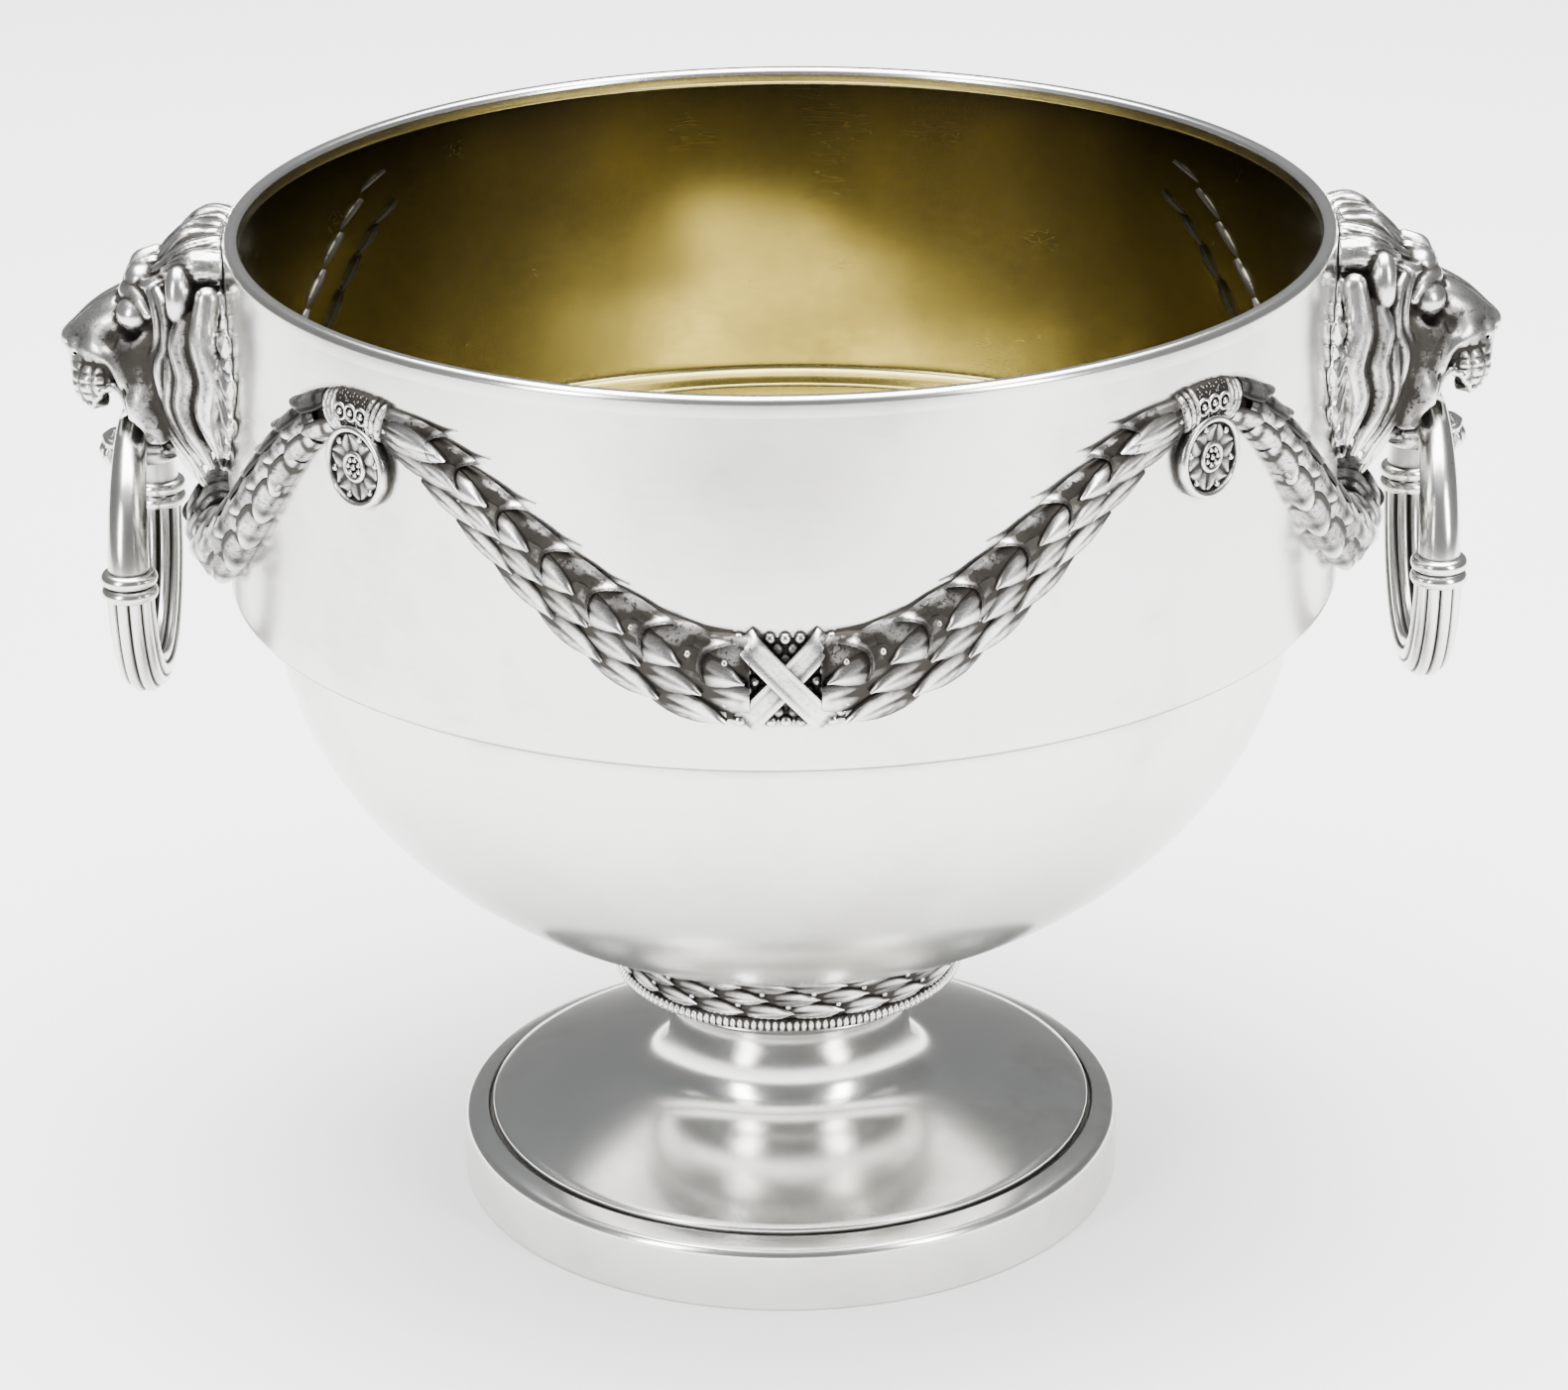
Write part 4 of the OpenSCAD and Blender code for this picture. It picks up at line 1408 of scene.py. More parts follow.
def build_collar():
    """Three rows of laurel leaves that all point one way round, with berries between them."""
    foot = settings("foot")
    start, end = mm(foot.neck_top) + BEAD_BAND, COLLAR_TOP
    relief = Relief()
    leaves, berries = [], []
    rows, round_count = 3, 22
    span = COLLAR_R * 2 * math.pi
    pitch = span / round_count
    for row in range(rows):
        y = 1.9 + row * 3.75
        for k in range(round_count):
            x = pitch * (k + 0.5 * (row % 2))
            leaves.append((x, y, 0.1, 0.0, 0.02, 0, pitch * 1.1 / FOLIAGE, 0.56, 0.62))
            berries.append(upright(x + pitch * 0.98, y + 1.75, 1.3, 0.75, 0.7))
    relief.set_out("leaf", leaves)
    relief.set_out("berry", berries)
    points, faces, hollow, matt = relief.arrays()
    shade = relief_hollow(points, faces, hollow)
    turn = points[:, 0] / COLLAR_R
    height = np.clip(start + points[:, 1], start + 0.1, end - 0.1)
    share = (height - start) / (end - start)
    r = 41.0 + 3.0 * share**1.4 + np.clip(points[:, 2], 0, 2.3)
    points = np.stack([r * np.sin(turn), -r * np.cos(turn), height], -1)
    leaves = new_mesh("laurel", points * MM, faces, crease=50)
    set_attribute(leaves, "hollow", shade)
    set_attribute(leaves, "matt", matt)
    outline = [(38.9, start), (41.4, start), (41.6, start + 1), (42.2, start + 5), (43.4, end - 2),
               (45.8, end - 0.9), (46.1, end), (43.4, end)]
    band = lathe("collar", outline, 128)
    set_attribute(band.data, "hollow", np.full(len(band.data.vertices), 0.9))
    both = joined("laurel_collar", [leaves, band.data])
    bpy.data.objects.remove(band)
    return finish_piece(both, "bucket", "cast_silver", "collar_band")


# ---------------------------------------------------------------------------------------------
# Rings
# ---------------------------------------------------------------------------------------------


def tube(points, radii, sides=20):
    """A closed tube in the YZ plane through points of (y, z), as points and faces round X."""
    line = np.array(points, float)
    ahead = np.gradient(line, axis=0)
    ahead /= np.linalg.norm(ahead, axis=1, keepdims=True)
    aside = np.stack([-ahead[:, 1], ahead[:, 0]], -1)
    turn = np.arange(sides) * 2 * math.pi / sides
    radii = np.broadcast_to(radii, len(line))
    y = line[:, None, 0] + aside[:, None, 0] * radii[:, None] * np.cos(turn)
    z = line[:, None, 1] + aside[:, None, 1] * radii[:, None] * np.cos(turn)
    x = radii[:, None] * np.sin(turn) + 0 * y
    out = np.stack([x, y, z], -1).reshape(-1, 3)
    faces = [tuple(f) for f in woven_faces(len(line), sides, closed=False, flip=True)]
    last = (len(line) - 1) * sides
    faces += [tuple(range(sides)), tuple(range(last + sides - 1, last - 1, -1))]
    return out, faces


def ring_piece(name, shape, side):
    """A piece of a ring from flat arrays, set at its pivot's distance and mirrored for its side."""
    points, faces, hollow = shape
    pivot = mm(settings("rings").pivot)
    sx = SIDES[side]
    points = (np.asarray(points) + (pivot, 0, 0)) * (sx, 1, 1)
    if sx < 0:
        faces = [f[::-1] for f in faces]
    mesh = new_mesh(name, points * MM, faces, crease=50)
    turn_outwards(mesh)
    set_attribute(mesh, "hollow", np.clip(hollow, 0, 1))
    ring = new_object(side + "_" + name, mesh)
    return finish_piece(ring, "ring_" + side, "polished_silver", name + "_" + side)


def ring_middle():
    """Height of a ring's centre, in mm."""
    rings = settings("rings")
    return mm(rings.height) + 0.2 - mm(rings.radius)


def shank_shape():
    """The plain upper half: two arms that taper up to the bar in the lion's mouth."""
    rings = settings("rings")
    r, middle = mm(rings.radius), ring_middle()
    build = Relief()
    turn = np.radians(np.linspace(0, 75.5, 40))
    radii = 4.95 - 1.55 * (np.degrees(turn) / 90) ** 1.3
    line = np.stack([r * np.cos(turn), middle + r * np.sin(turn)], -1)
    for flip in (1, -1):
        points, faces = tube(line * (flip, 1), radii)
        build.add(points, faces, 0.0, 0.0)
    points, faces = tube([(y, mm(rings.height)) for y in np.linspace(-9, 9, 12)], 3.48)
    build.add(points, faces, 0.0, 0.0)
    points, faces, hollow, _ = build.arrays()
    hollow = np.clip(1 - (points[:, 2] - middle - 3.2) / 1.6, 0, 0.9)
    # Painted reflection: the inner half of the tube is darker, standing in for the dark side of its
    # reflection
    inner = (r - np.hypot(points[:, 1], points[:, 2] - middle)) / 4.6
    hollow = np.maximum(hollow, 0.62 * np.clip(0.25 + inner, 0, 1))
    return points, faces, hollow


def collars_shape():
    """A double band at each end of the ring's level diameter."""
    rings = settings("rings")
    middle = ring_middle()
    half = [(4.4, 3.4), (5.6, 3.4), (6.2, 3.0), (6.6, 2.3), (6.68, 1.6), (6.4, 0.7)]
    profile = [*((p, -h) for p, h in half), (5.5, 0.0), *reversed(half)]
    build = Relief()
    sides = 40
    turn = np.arange(sides) * 2 * math.pi / sides
    for flip in (1, -1):
        points = np.array([(p * math.sin(t), flip * mm(rings.radius) + p * math.cos(t), middle + h)
                           for p, h in profile for t in turn])
        faces = woven_faces(len(profile), sides, closed=True)
        dark = np.repeat([0.9 if p < 5.58 else 0.0 for p, _ in profile], sides)
        build.add(points, faces, dark, 0.0)
    return build.arrays()[:3]


def reeding_tree():
    """Geometry nodes that sweep a reeded section round half a circle."""
    steps = 8.0
    tree, net, given, result = geometry_tree(
        "Reeded bow",
        {"Bow": "Geometry", "Radius": "Float", "Thickness": "Float", "Reeds": "Int",
         "Depth": "Float", "Metal": "Material"},
        "Bar",
    )
    bow = net.add("GeometryNodeCurveArc", {
        "Resolution": 97, "Radius": given["Radius"], "Start Angle": math.pi, "Sweep Angle": math.pi,
    }, mode="RADIUS").outputs["Curve"]
    section = net.add("GeometryNodeCurvePrimitiveCircle", {
        "Resolution": net.times(given["Reeds"], steps), "Radius": given["Thickness"],
    })
    spot = net.add("GeometryNodeInputPosition").outputs[0]
    turn = net.math("DIVIDE", net.add("GeometryNodeInputIndex").outputs[0], steps)
    wave = net.math("ABSOLUTE", net.math("SINE", net.times(turn, math.pi)))
    dip = net.times(net.minus(net.math("POWER", wave, 0.6), 1.0), given["Depth"])
    inward = net.vector("SCALE", net.vector("NORMALIZE", spot), dip)
    reeded = net.add("GeometryNodeSetPosition", {"Geometry": section.outputs["Curve"], "Offset": inward})
    swept = net.add("GeometryNodeCurveToMesh", {
        "Curve": bow, "Profile Curve": reeded.outputs["Geometry"], "Fill Caps": True,
    }).outputs["Mesh"]
    metal = net.add("GeometryNodeSetMaterial", {"Geometry": swept, "Material": given["Metal"]})
    net.put(metal.outputs["Geometry"], result["Bar"])
    return tree


def reeding_shape():
    """The reeded lower half of the ring, dark between its reeds."""
    rings = settings("rings")
    depth, thick = 0.9, 5.6
    inputs = {"Radius": mm(rings.radius), "Thickness": thick, "Reeds": rings.reeds,
              "Depth": depth, "Metal": finish_material("polished_silver")}
    bow = bpy.data.objects.new("bow", bpy.data.meshes.new("bow"))
    mesh = plain_mesh(bow, reeding_tree(), inputs)
    points, faces, _, _ = read_mesh(mesh)
    bpy.data.meshes.remove(mesh)
    points = np.stack([-points[:, 2], points[:, 0], points[:, 1]], -1)
    off = np.abs(np.hypot(np.hypot(points[:, 1], points[:, 2]) - mm(rings.radius), points[:, 0]))
    inner = (mm(rings.radius) - np.hypot(points[:, 1], points[:, 2])) / thick
    # Dark in the grooves between the reeds; the inner half is darker too, a painted reflection
    hollow = np.clip((thick - 0.1 - off) / (0.55 * depth), 0, 1) + 0.4 * np.clip(inner, 0, 1)
    return points + (0, 0, ring_middle()), faces, hollow


def build_rings():
    """Both rings, each of a shank, two collars and a reeded bow."""
    shank, collars, reeding = shank_shape(), collars_shape(), reeding_shape()
    for side in SIDES:
        ring_piece("ring_shank", shank, side)
        ring_piece("ring_collars", collars, side)
        ring_piece("ring_reeding", reeding, side)


# ---------------------------------------------------------------------------------------------
# Clay: half of a face as a distance field on a grid, in mm, with x out from the axis and y aside
# ---------------------------------------------------------------------------------------------


def curve_through(points, spacing=0.8):
    """A smooth line through points of (x, y, z, radius), as an array of the same columns."""
    p = np.array(points, float)
    p = np.vstack([2 * p[0] - p[1], p, 2 * p[-1] - p[-2]])
    out = []
    for i in range(1, len(p) - 2):
        steps = max(2, int(np.linalg.norm(p[i + 1, :3] - p[i, :3]) / spacing))
        for t in np.arange(steps) / steps:
            out.append(0.5 * (
                2 * p[i] + (p[i + 1] - p[i - 1]) * t
                + (2 * p[i - 1] - 5 * p[i] + 4 * p[i + 1] - p[i + 2]) * t**2
                + (3 * p[i] - p[i - 1] - 3 * p[i + 1] + p[i + 2]) * t**3
            ))
    out.append(p[-2])
    return np.array(out)


class Clay:
    """A lump of clay. The field is negative inside it; blend is how softly a new shape runs in."""

    def __init__(self, low_corner, high_corner, pitch):
        self.pitch = pitch
        self.low = np.array(low_corner, float)
        self.axes = [np.arange(a, b + pitch, pitch) for a, b in zip(low_corner, high_corner)]
        self.field = np.full([len(a) for a in self.axes], 5.0)
        # Spots of painted shade, each a centre, a reach and an amount
        self.stains = []

    def window(self, low_corner, high_corner):
        """Slices and coordinates of the part of the grid between two corners."""
        cut = tuple(
            slice(max(0, np.searchsorted(axis, a)), min(len(axis), np.searchsorted(axis, b) + 1))
            for axis, a, b in zip(self.axes, low_corner, high_corner)
        )
        x, y, z = (axis[c] for axis, c in zip(self.axes, cut))
        return cut, x[:, None, None], y[None, :, None], z[None, None, :]

    def work(self, cut, shape, blend, hollow):
        """Add a shape to a window of the field, or take it away."""
        here = self.field[cut]
        sign = -1 if hollow else 1
        h = np.clip(0.5 + 0.5 * sign * (here - sign * shape) / blend, 0, 1)
        self.field[cut] = here + (sign * shape - here) * h - sign * blend * h * (1 - h)

    def ball(self, centre, radii, blend=1.0, turn=(0, 0, 0), hollow=False):
        """An ellipsoid, turned in degrees about X, Y and Z."""
        c, r = np.array(centre, float), np.array(radii, float)
        spin = np.eye(3)
        for angle, axis in zip(turn, "XYZ"):
            spin = np.array(Matrix.Rotation(math.radians(angle), 3, axis)) @ spin
        reach = r.max() + 2 * blend + 2
        cut, x, y, z = self.window(c - reach, c + reach)
        d = (x - c[0], y - c[1], z - c[2])
        u = [sum(spin[k, i] * d[k] for k in range(3)) for i in range(3)]
        near = np.sqrt(sum((a / b) ** 2 for a, b in zip(u, r)))
        steep = np.sqrt(sum((a / b**2) ** 2 for a, b in zip(u, r)))
        self.work(cut, near * (near - 1) / np.maximum(steep, 1e-6), blend, hollow)

    def stroke(self, points, blend=0.8, hollow=False, hair=0.0, pitch=1.25):
        """A round stroke along a line of (x, y, z, radius), with hair lines of a given depth along it."""
        line = curve_through(points)
        reach = line[:, 3].max() + 2 * blend + 1.2
        cut = self.window(line[:, :3].min(0) - reach, line[:, :3].max(0) + reach)[0]
        shape = np.full(self.field[cut].shape, 9.0)
        start = [c.start for c in cut]
        for a, b in zip(line[:-1], line[1:]):
            small, x, y, z = self.window(np.minimum(a, b)[:3] - reach, np.maximum(a, b)[:3] + reach)
            inner = tuple(slice(c.start - o, c.stop - o) for c, o in zip(small, start))
            ab = b[:3] - a[:3]
            px, py, pz = x - a[0], y - a[1], z - a[2]
            t = np.clip((px * ab[0] + py * ab[1] + pz * ab[2]) / max(ab @ ab, 1e-9), 0, 1)
            dx, dy, dz = px - t * ab[0], py - t * ab[1], pz - t * ab[2]
            radius = a[3] + (b[3] - a[3]) * t
            gap = np.sqrt(dx * dx + dy * dy + dz * dz) - radius
            if hair:
                side = np.cross(ab, (1, 0.35, 0))
                side /= max(np.linalg.norm(side), 1e-9)
                across = dx * side[0] + dy * side[1] + dz * side[2]
                wave = 0.5 - 0.5 * np.cos(across * 2 * math.pi / pitch)
                gap = gap + hair * wave * np.clip(radius - 0.8, 0, 1)
            shape[inner] = np.minimum(shape[inner], gap)
        self.work(cut, shape, blend, hollow)

    def score(self, points, depth=0.5, width=0.45):
        """Press a fine line into the surface along points of (x, y, z)."""
        line = curve_through([(*p, 0) for p in points], 0.5)[:, :3]
        reach = 3 * width
        cut, x, y, z = self.window(line.min(0) - reach, line.max(0) + reach)
        gap = np.full(self.field[cut].shape, 99.0)
        for a in line:
            gap = np.minimum(gap, (x - a[0]) ** 2 + (y - a[1]) ** 2 + (z - a[2]) ** 2)
        self.field[cut] += depth * np.exp(-gap / width**2)

    def engrave(self, centre, reach, pitch, depth=0.6):
        """Cross a rounded part with rows and columns of fine grooves."""
        c = np.array(centre, float)
        cut, x, y, z = self.window(c - 1.6 * reach, c + 1.6 * reach)
        far = np.sqrt((x - c[0]) ** 2 + (y - c[1]) ** 2 + (z - c[2]) ** 2)
        share = 1 / (1 + np.exp((far - reach) * 1.6))
        row = np.abs((z - c[2]) / pitch + 0.5 - np.round((z - c[2]) / pitch + 0.5)) * pitch
        turn = np.arctan2(y - 0.45 * c[1], x - c[0] + 0.6 * reach) * reach
        column = np.abs(turn / pitch - np.round(turn / pitch)) * pitch
        groove = np.maximum(bell(row, 0, 0.42), bell(column, 0, 0.42))
        self.field[cut] += depth * share * groove

    def keep_within(self, outside):
        """Cut off whatever lies where the given distances are positive."""
        self.field = np.maximum(self.field, outside)

    def grids(self):
        """The grid's coordinates, ready for reckoning with each other."""
        x, y, z = self.axes
        return x[:, None, None], y[None, :, None], z[None, None, :]

    def surface(self, gain=1.5):
        """The whole mirrored shape's points and faces, with hollow and matt per point."""
        steps = int(round(-self.axes[1][0] / self.pitch))
        half = self.field[:, steps:]
        whole = np.concatenate([half[:, :0:-1], half], axis=1).astype(np.float32)
        low_corner = np.array([self.low[0], -self.axes[1][-1], self.low[2]])
        soft = box_blur(whole.astype(np.float64), 2, 1)
        broad = box_blur(whole.astype(np.float64), 6, 1)
        grid = openvdb.FloatGrid(4.0)
        grid.copyFromArray(np.clip(whole, -4, 4))
        points, quads = grid.convertToQuads(isovalue=0.0)
        depth = soft * 2.6 + broad * 0.75
        cell = np.clip(np.floor(points).astype(int), 0, np.array(whole.shape) - 2)
        part = points - cell
        total = np.zeros(len(points))
        for corner in np.ndindex(2, 2, 2):
            share = np.prod(np.where(corner, part, 1 - part), axis=1)
            total += share * depth[tuple((cell + corner).T)]
        hollow = 0.30 - gain * np.where(total > 0, 0.42 * total, total)
        points = points * self.pitch + low_corner
        # Painted shade: darker round each of the given spots
        for centre, reach, amount in self.stains:
            away = np.sqrt((points[:, 0] - centre[0]) ** 2 + (np.abs(points[:, 1]) - centre[1]) ** 2
                           + (points[:, 2] - centre[2]) ** 2)
            hollow = hollow + amount * bell(away, 0, reach)
        hollow = np.clip(hollow, 0, 1)
        return points, quads, hollow, np.clip(0.05 + 1.2 * hollow, 0, 1)


# ---------------------------------------------------------------------------------------------
# Lions
# ---------------------------------------------------------------------------------------------


def sculpt_head():
    """The mask: crown of locks, brow, eyes, muzzle, jowls and the manes down the cheeks."""
    clay = Clay((127, -CLAY_PITCH, 184), (173, 31, 249), CLAY_PITCH)
    ball, stroke, score = clay.ball, clay.stroke, clay.score
    # skull, crown and cheeks
    ball((134, 0, 219), (13, 24, 27), 2)
    ball((135, 7, 232), (10.5, 14, 13), 3)
    ball((143.5, 4.5, 230), (9, 9, 7.5), 3)
    ball((147.5, 9.0, 216), (9.5, 9.5, 10.5), 3)
    ball((145, 12, 207), (6.5, 7, 9), 3)
    # bridge of the nose
    stroke([(146, 2.5, 227, 6.8), (153, 2.8, 225.2, 6.6), (159, 2.6, 222.8, 5.8),
            (165, 1.6, 219.6, 4.2)], 2)
    ball((166.8, 0, 219.2), (3.6, 4.4, 3.4), 0.8, turn=(0, 12, 0))
    ball((166.0, 0, 215.0), (2.6, 3.0, 3.4), 1.0)
    ball((165.2, 4.8, 218.2), (3.2, 2.4, 3.2), 0.7)
    stroke([(163.0, 6.6, 220.0, 0.8), (161.4, 7.3, 217.6, 1.0), (162.4, 7.3, 215.2, 0.8)], 0.5)
    # whisker pads and lip
    ball((159.8, 5.9, 210.8), (7.9, 6.2, 7.0), 1.0, turn=(0, 10, 0))
    ball((161.4, 5.0, 206.6), (4.6, 4.6, 3.4), 1.2)
    ball((163.6, 4.4, 214.6), (4.4, 4.2, 4.0), 1.6)
    score([(168.6, 0, 216.4), (168.6, 0, 212), (166.8, 0, 206), (163, 0, 202.5)], 1.2, 0.7)
    ball((168.4, 3.4, 217.6), (1.7, 1.3, 1.1), 0.3, hollow=True)
    stroke([(167.4, 4.8, 217.6, 0.6), (165.8, 6.8, 217.2, 0.6), (164.6, 7.6, 218.8, 0.3)], 0.3, hollow=True)
    # the fold from the nostril down to the mouth's corner, and the wrinkles of the nose
    ball((160.2, 6.2, 218.6), (4.8, 4.4, 4.4), 2.0)
    stroke([(161.6, 8.2, 217.6, 0.9), (158.0, 10.8, 217.4, 1.8), (155.0, 13.0, 215.8, 2.3),
            (153.6, 14.4, 212.4, 2.0)], 2.4)
    for x in (157.4, 159.8, 162.0):
        drop = 0.62 * (x - 156)
        score([(x, 3.4, 227.6 - drop), (x - 0.4, 6.0, 225.6 - drop), (x - 1.2, 8.0, 223.0 - drop)],
              0.35, 0.42)
    # brow and the big smooth eye under it
    stroke([(152.6, 2.8, 231.8, 2.8), (152.0, 6.8, 232.2, 3.0), (149.4, 10.8, 231.6, 2.6),
            (147.4, 13.6, 229.0, 1.6)], 1.0)
    ball((149.4, 5.2, 235.4), (4.4, 5.0, 3.6), 0.9)
    ball((152.4, 11.4, 223.6), (3.4, 3.4, 1.8), 1.6, hollow=True)
    ball((150.9, 9.9, 228.0), (4.7, 4.6, 4.4), 0.5)
    score([(156.0, 7.4, 226.4), (155.4, 11.0, 225.4), (152.6, 13.8, 225.6)], 0.6, 0.4)
    score([(156.2, 6.2, 226.4), (155.0, 5.8, 230.4)], 1.0, 0.8)
    score([(155.4, 0, 227), (154.8, 0, 231), (152.6, 0, 236)], 1.1, 0.9)
    score([(153.0, 2.6, 234.4), (151.4, 6.2, 234.4), (147.6, 10.4, 233.8)], 0.9, 0.5)
    # crown of rounded locks
    crown = (
        [(133, 2.8, 243.4, 3.4), (138, 2.8, 243.0, 3.6), (141.8, 3.6, 240.8, 2.9),
         (145.4, 3.6, 238.4, 1.8)],
        [(132, 9.0, 243.0, 3.6), (137, 9.8, 241.8, 3.8), (141.6, 9.4, 239.2, 3.2),
         (145.8, 7.8, 237.2, 1.9)],
        [(130, 16.4, 240.8, 4.6), (135.0, 17.6, 241.4, 4.6), (139.4, 16.0, 240.0, 3.4),
         (142.8, 13.0, 238.6, 1.9)],
        [(147.0, 4.2, 238.4, 2.0), (150.6, 3.6, 237.0, 2.1), (153.2, 2.0, 234.8, 1.3)],
        [(143.4, 12.6, 236.4, 2.6), (146.8, 11.8, 235.2, 2.3), (149.4, 8.8, 235.0, 1.4)],
    )
    for lock in crown:
        stroke(lock, 0.3, hair=0.32, pitch=1.35)
    # ear, with a dark recess behind it
    ball((139.6, 19.6, 231.0), (4.2, 3.6, 4.6), 0.8, hollow=True)
    ball((139.4, 21.6, 236.0), (3.5, 4.4, 6.9), 0.25, turn=(8, 0, 0))
    ball((143.0, 22.4, 235.8), (1.5, 2.2, 4.2), 0.6, turn=(8, 0, 0), hollow=True)
    # the double ridge round the eye socket and down the cheek
    for shift, radius in ((0.0, 1.4), (2.3, 1.7)):
        stroke([
            (147.2 - shift, 12.6 + shift, 234.6, 0.8 * radius),
            (145.6 - shift, 15.6 + 0.8 * shift, 232.2, radius),
            (144.8 - shift, 17.4 + 0.8 * shift, 228.0, radius),
            (145.2 - shift, 17.6 + 0.8 * shift, 223.0, radius),
            (147.0 - shift, 17.0 + 0.8 * shift, 218.0, 1.1 * radius),
            (146.6 - shift, 17.6 + 0.8 * shift, 212.6, radius),
            (145.0 - shift, 18.0 + 0.8 * shift, 206.6, 0.7 * radius),
        ], 0.4)
    # manes down the side of the face, sweeping to points
    manes = (
        [(137.4, 22.6, 230, 3.2), (138.8, 22.4, 224, 3.6), (137.6, 23.6, 217, 3.5),
         (138.8, 22.2, 209.6, 3.3),
         (137.0, 22.4, 202, 2.6), (133.6, 23.8, 194.4, 0.8)],
        [(132.4, 25.0, 236, 3.0), (133.6, 25.6, 226, 3.6), (132.2, 26.2, 217, 3.5),
         (133.4, 25.4, 208, 3.2),
         (131.4, 25.8, 198, 1.0)],
        [(141.6, 20.4, 220, 2.2), (141.4, 20.8, 214, 2.8), (141.8, 19.8, 208.4, 2.8),
         (139.6, 20.4, 202.0, 2.3),
         (136.2, 22.0, 194.6, 0.7)],
        [(143.8, 17.8, 208.6, 2.4), (142.6, 18.0, 203.4, 2.4), (140.4, 18.8, 198.2, 2.1),
         (136.2, 20.2, 191.0, 0.7)],
        [(140.4, 14.5, 200.6, 2.8), (140.0, 14.6, 196.0, 2.5), (138.6, 15.0, 191.2, 1.8),
         (136.4, 16.2, 187.2, 0.6)],
        [(141.0, 9.6, 199.0, 2.9), (141.2, 9.6, 194.0, 2.6), (139.6, 9.2, 189.4, 1.8),
         (137.6, 10.0, 186.4, 0.6)],
        [(142.0, 3.2, 198.6, 3.0), (142.4, 3.2, 193.6, 2.7), (140.8, 3.0, 188.6, 1.9),
         (138.8, 3.4, 185.6, 0.6)],
    )
    for number, lock in enumerate(manes):
        stroke(lock, 0.3, hair=0.14 if number < 4 else 0.3, pitch=1.7)
    # jowl, with the mouth's arch in front of it
    ball((149.6, 14.8, 207.4), (5.0, 4.6, 8.8), 1.4, turn=(0, -12, 0))
    ball((146.6, 16.0, 203.2), (4.4, 3.8, 5.6), 1.4)
    ball((157.4, 14.6, 204.2), (4.4, 8.6, 7.0), 0.7, hollow=True)
    stroke([(156.8, -2, 205.4, 2.5), (156.8, 8, 206.0, 2.8), (156.6, 15, 206.6, 3.0)], 0.6, hollow=True)
    stroke([(162.6, 8.8, 204.4, 0.9), (160.6, 11.2, 208.2, 1.0), (157.6, 12.6, 210.8, 1.1),
            (154.8, 14.2, 209.8, 1.2), (152.8, 15.4, 206.0, 1.4), (150.6, 16.0, 202.4, 1.6),
            (148.0, 16.4, 199.6, 1.7)], 0.4)
    stroke([(152.6, 15.8, 212.6, 0.8), (150.6, 17.4, 208.6, 1.1), (148.4, 18.0, 204.6, 1.2),
            (145.8, 18.0, 201.4, 0.8)], 0.4)
    score([(154.0, 15.6, 211.8), (151.6, 17.0, 207.4), (149.0, 17.6, 202.8)], 0.9, 0.45)
    clay.engrave((160.6, 6.4, 209.6), 7.6, 2.4, 0.42)
    # Painted shade on the cheek, the jowl, the mouth's corner, the ear, the mane and the crown
    clay.stains += [((151.5, 15.5, 218.5), 5.0, 0.5), ((147.0, 17.0, 222.0), 4.0, 0.4),
                    ((147.0, 15.0, 203.0), 6.0, 0.3),
                    ((156.5, 8.0, 202.0), 6.5, 0.6), ((143.0, 19.0, 231.0), 4.0, 0.4),
                    ((136.0, 25.0, 222.0), 8.0, 0.22), ((138.0, 24.0, 206.0), 8.0, 0.18),
                    ((137.0, 10.0, 243.0), 9.0, 0.18)]
    # the mouth, open round the ring's bar
    stroke([(153.5, -2, 200.3, 4.3), (153.5, 16, 200.3, 4.3)], 0.5, hollow=True)
    ball((159, 2.0, 199.6), (8.0, 6.6, 4.0), 0.6, hollow=True)
    x, y, z = clay.grids()
    arm_top = 204.0 - 2.8 * np.clip((y - 9) / 4, 0, 1)
    corner = np.maximum(np.maximum(149.6 - x, 7.2 - y), np.maximum(188 - z, z - arm_top))
    clay.keep_within(-corner)
    clay.keep_within(wall_radius(z) + 0.4 - np.hypot(x, y))
    clay.keep_within(np.maximum(z - 246.8, x - 170.3))
    return clay.surface()


def sculpt_jaw():
    """The lower jaw with its lip, its teeth line and a ragged tuft of beard."""
    clay = Clay((141, -CLAY_PITCH, 184), (168, 12, 201), CLAY_PITCH)
    clay.ball((151.5, 0, 191.2), (8.6, 6.6, 4.2), 0.5)
    clay.stroke([(148, 6.4, 193.0, 1.1), (154, 6.3, 193.3, 1.2), (159.4, 4.4, 193.6, 1.2),
                 (161.0, 0, 193.8, 1.3)], 0.5)
    tufts = (
        [(160.2, 0.6, 193.6, 1.6), (161.6, 0.8, 190.4, 1.5), (160.6, 0.6, 187.4, 0.5)],
        [(159.4, 3.0, 193.0, 1.5), (160.6, 3.6, 190.0, 1.3), (159.2, 4.2, 187.8, 0.5)],
        [(156.4, 4.6, 191.6, 1.6), (157.4, 5.4, 188.8, 1.3), (155.4, 5.8, 187.0, 0.5)],
        [(152.6, 5.0, 190.6, 1.5), (153.2, 5.6, 188.0, 1.2), (151.6, 5.6, 186.6, 0.5)],
        [(155.0, 1.6, 189.6, 1.7), (156.2, 1.6, 187.6, 1.2), (155.0, 1.6, 186.8, 0.6)],
    )
    for tuft in tufts:
        clay.stroke(tuft, 0.25, hair=0.4, pitch=1.0)
    x, y, z = clay.grids()
    clay.keep_within(np.maximum(z - 195.6, 186.4 - z))
    clay.keep_within(4.1 - np.hypot(x - 153.5, z - 200.3) + 0 * y)
    return clay.surface()


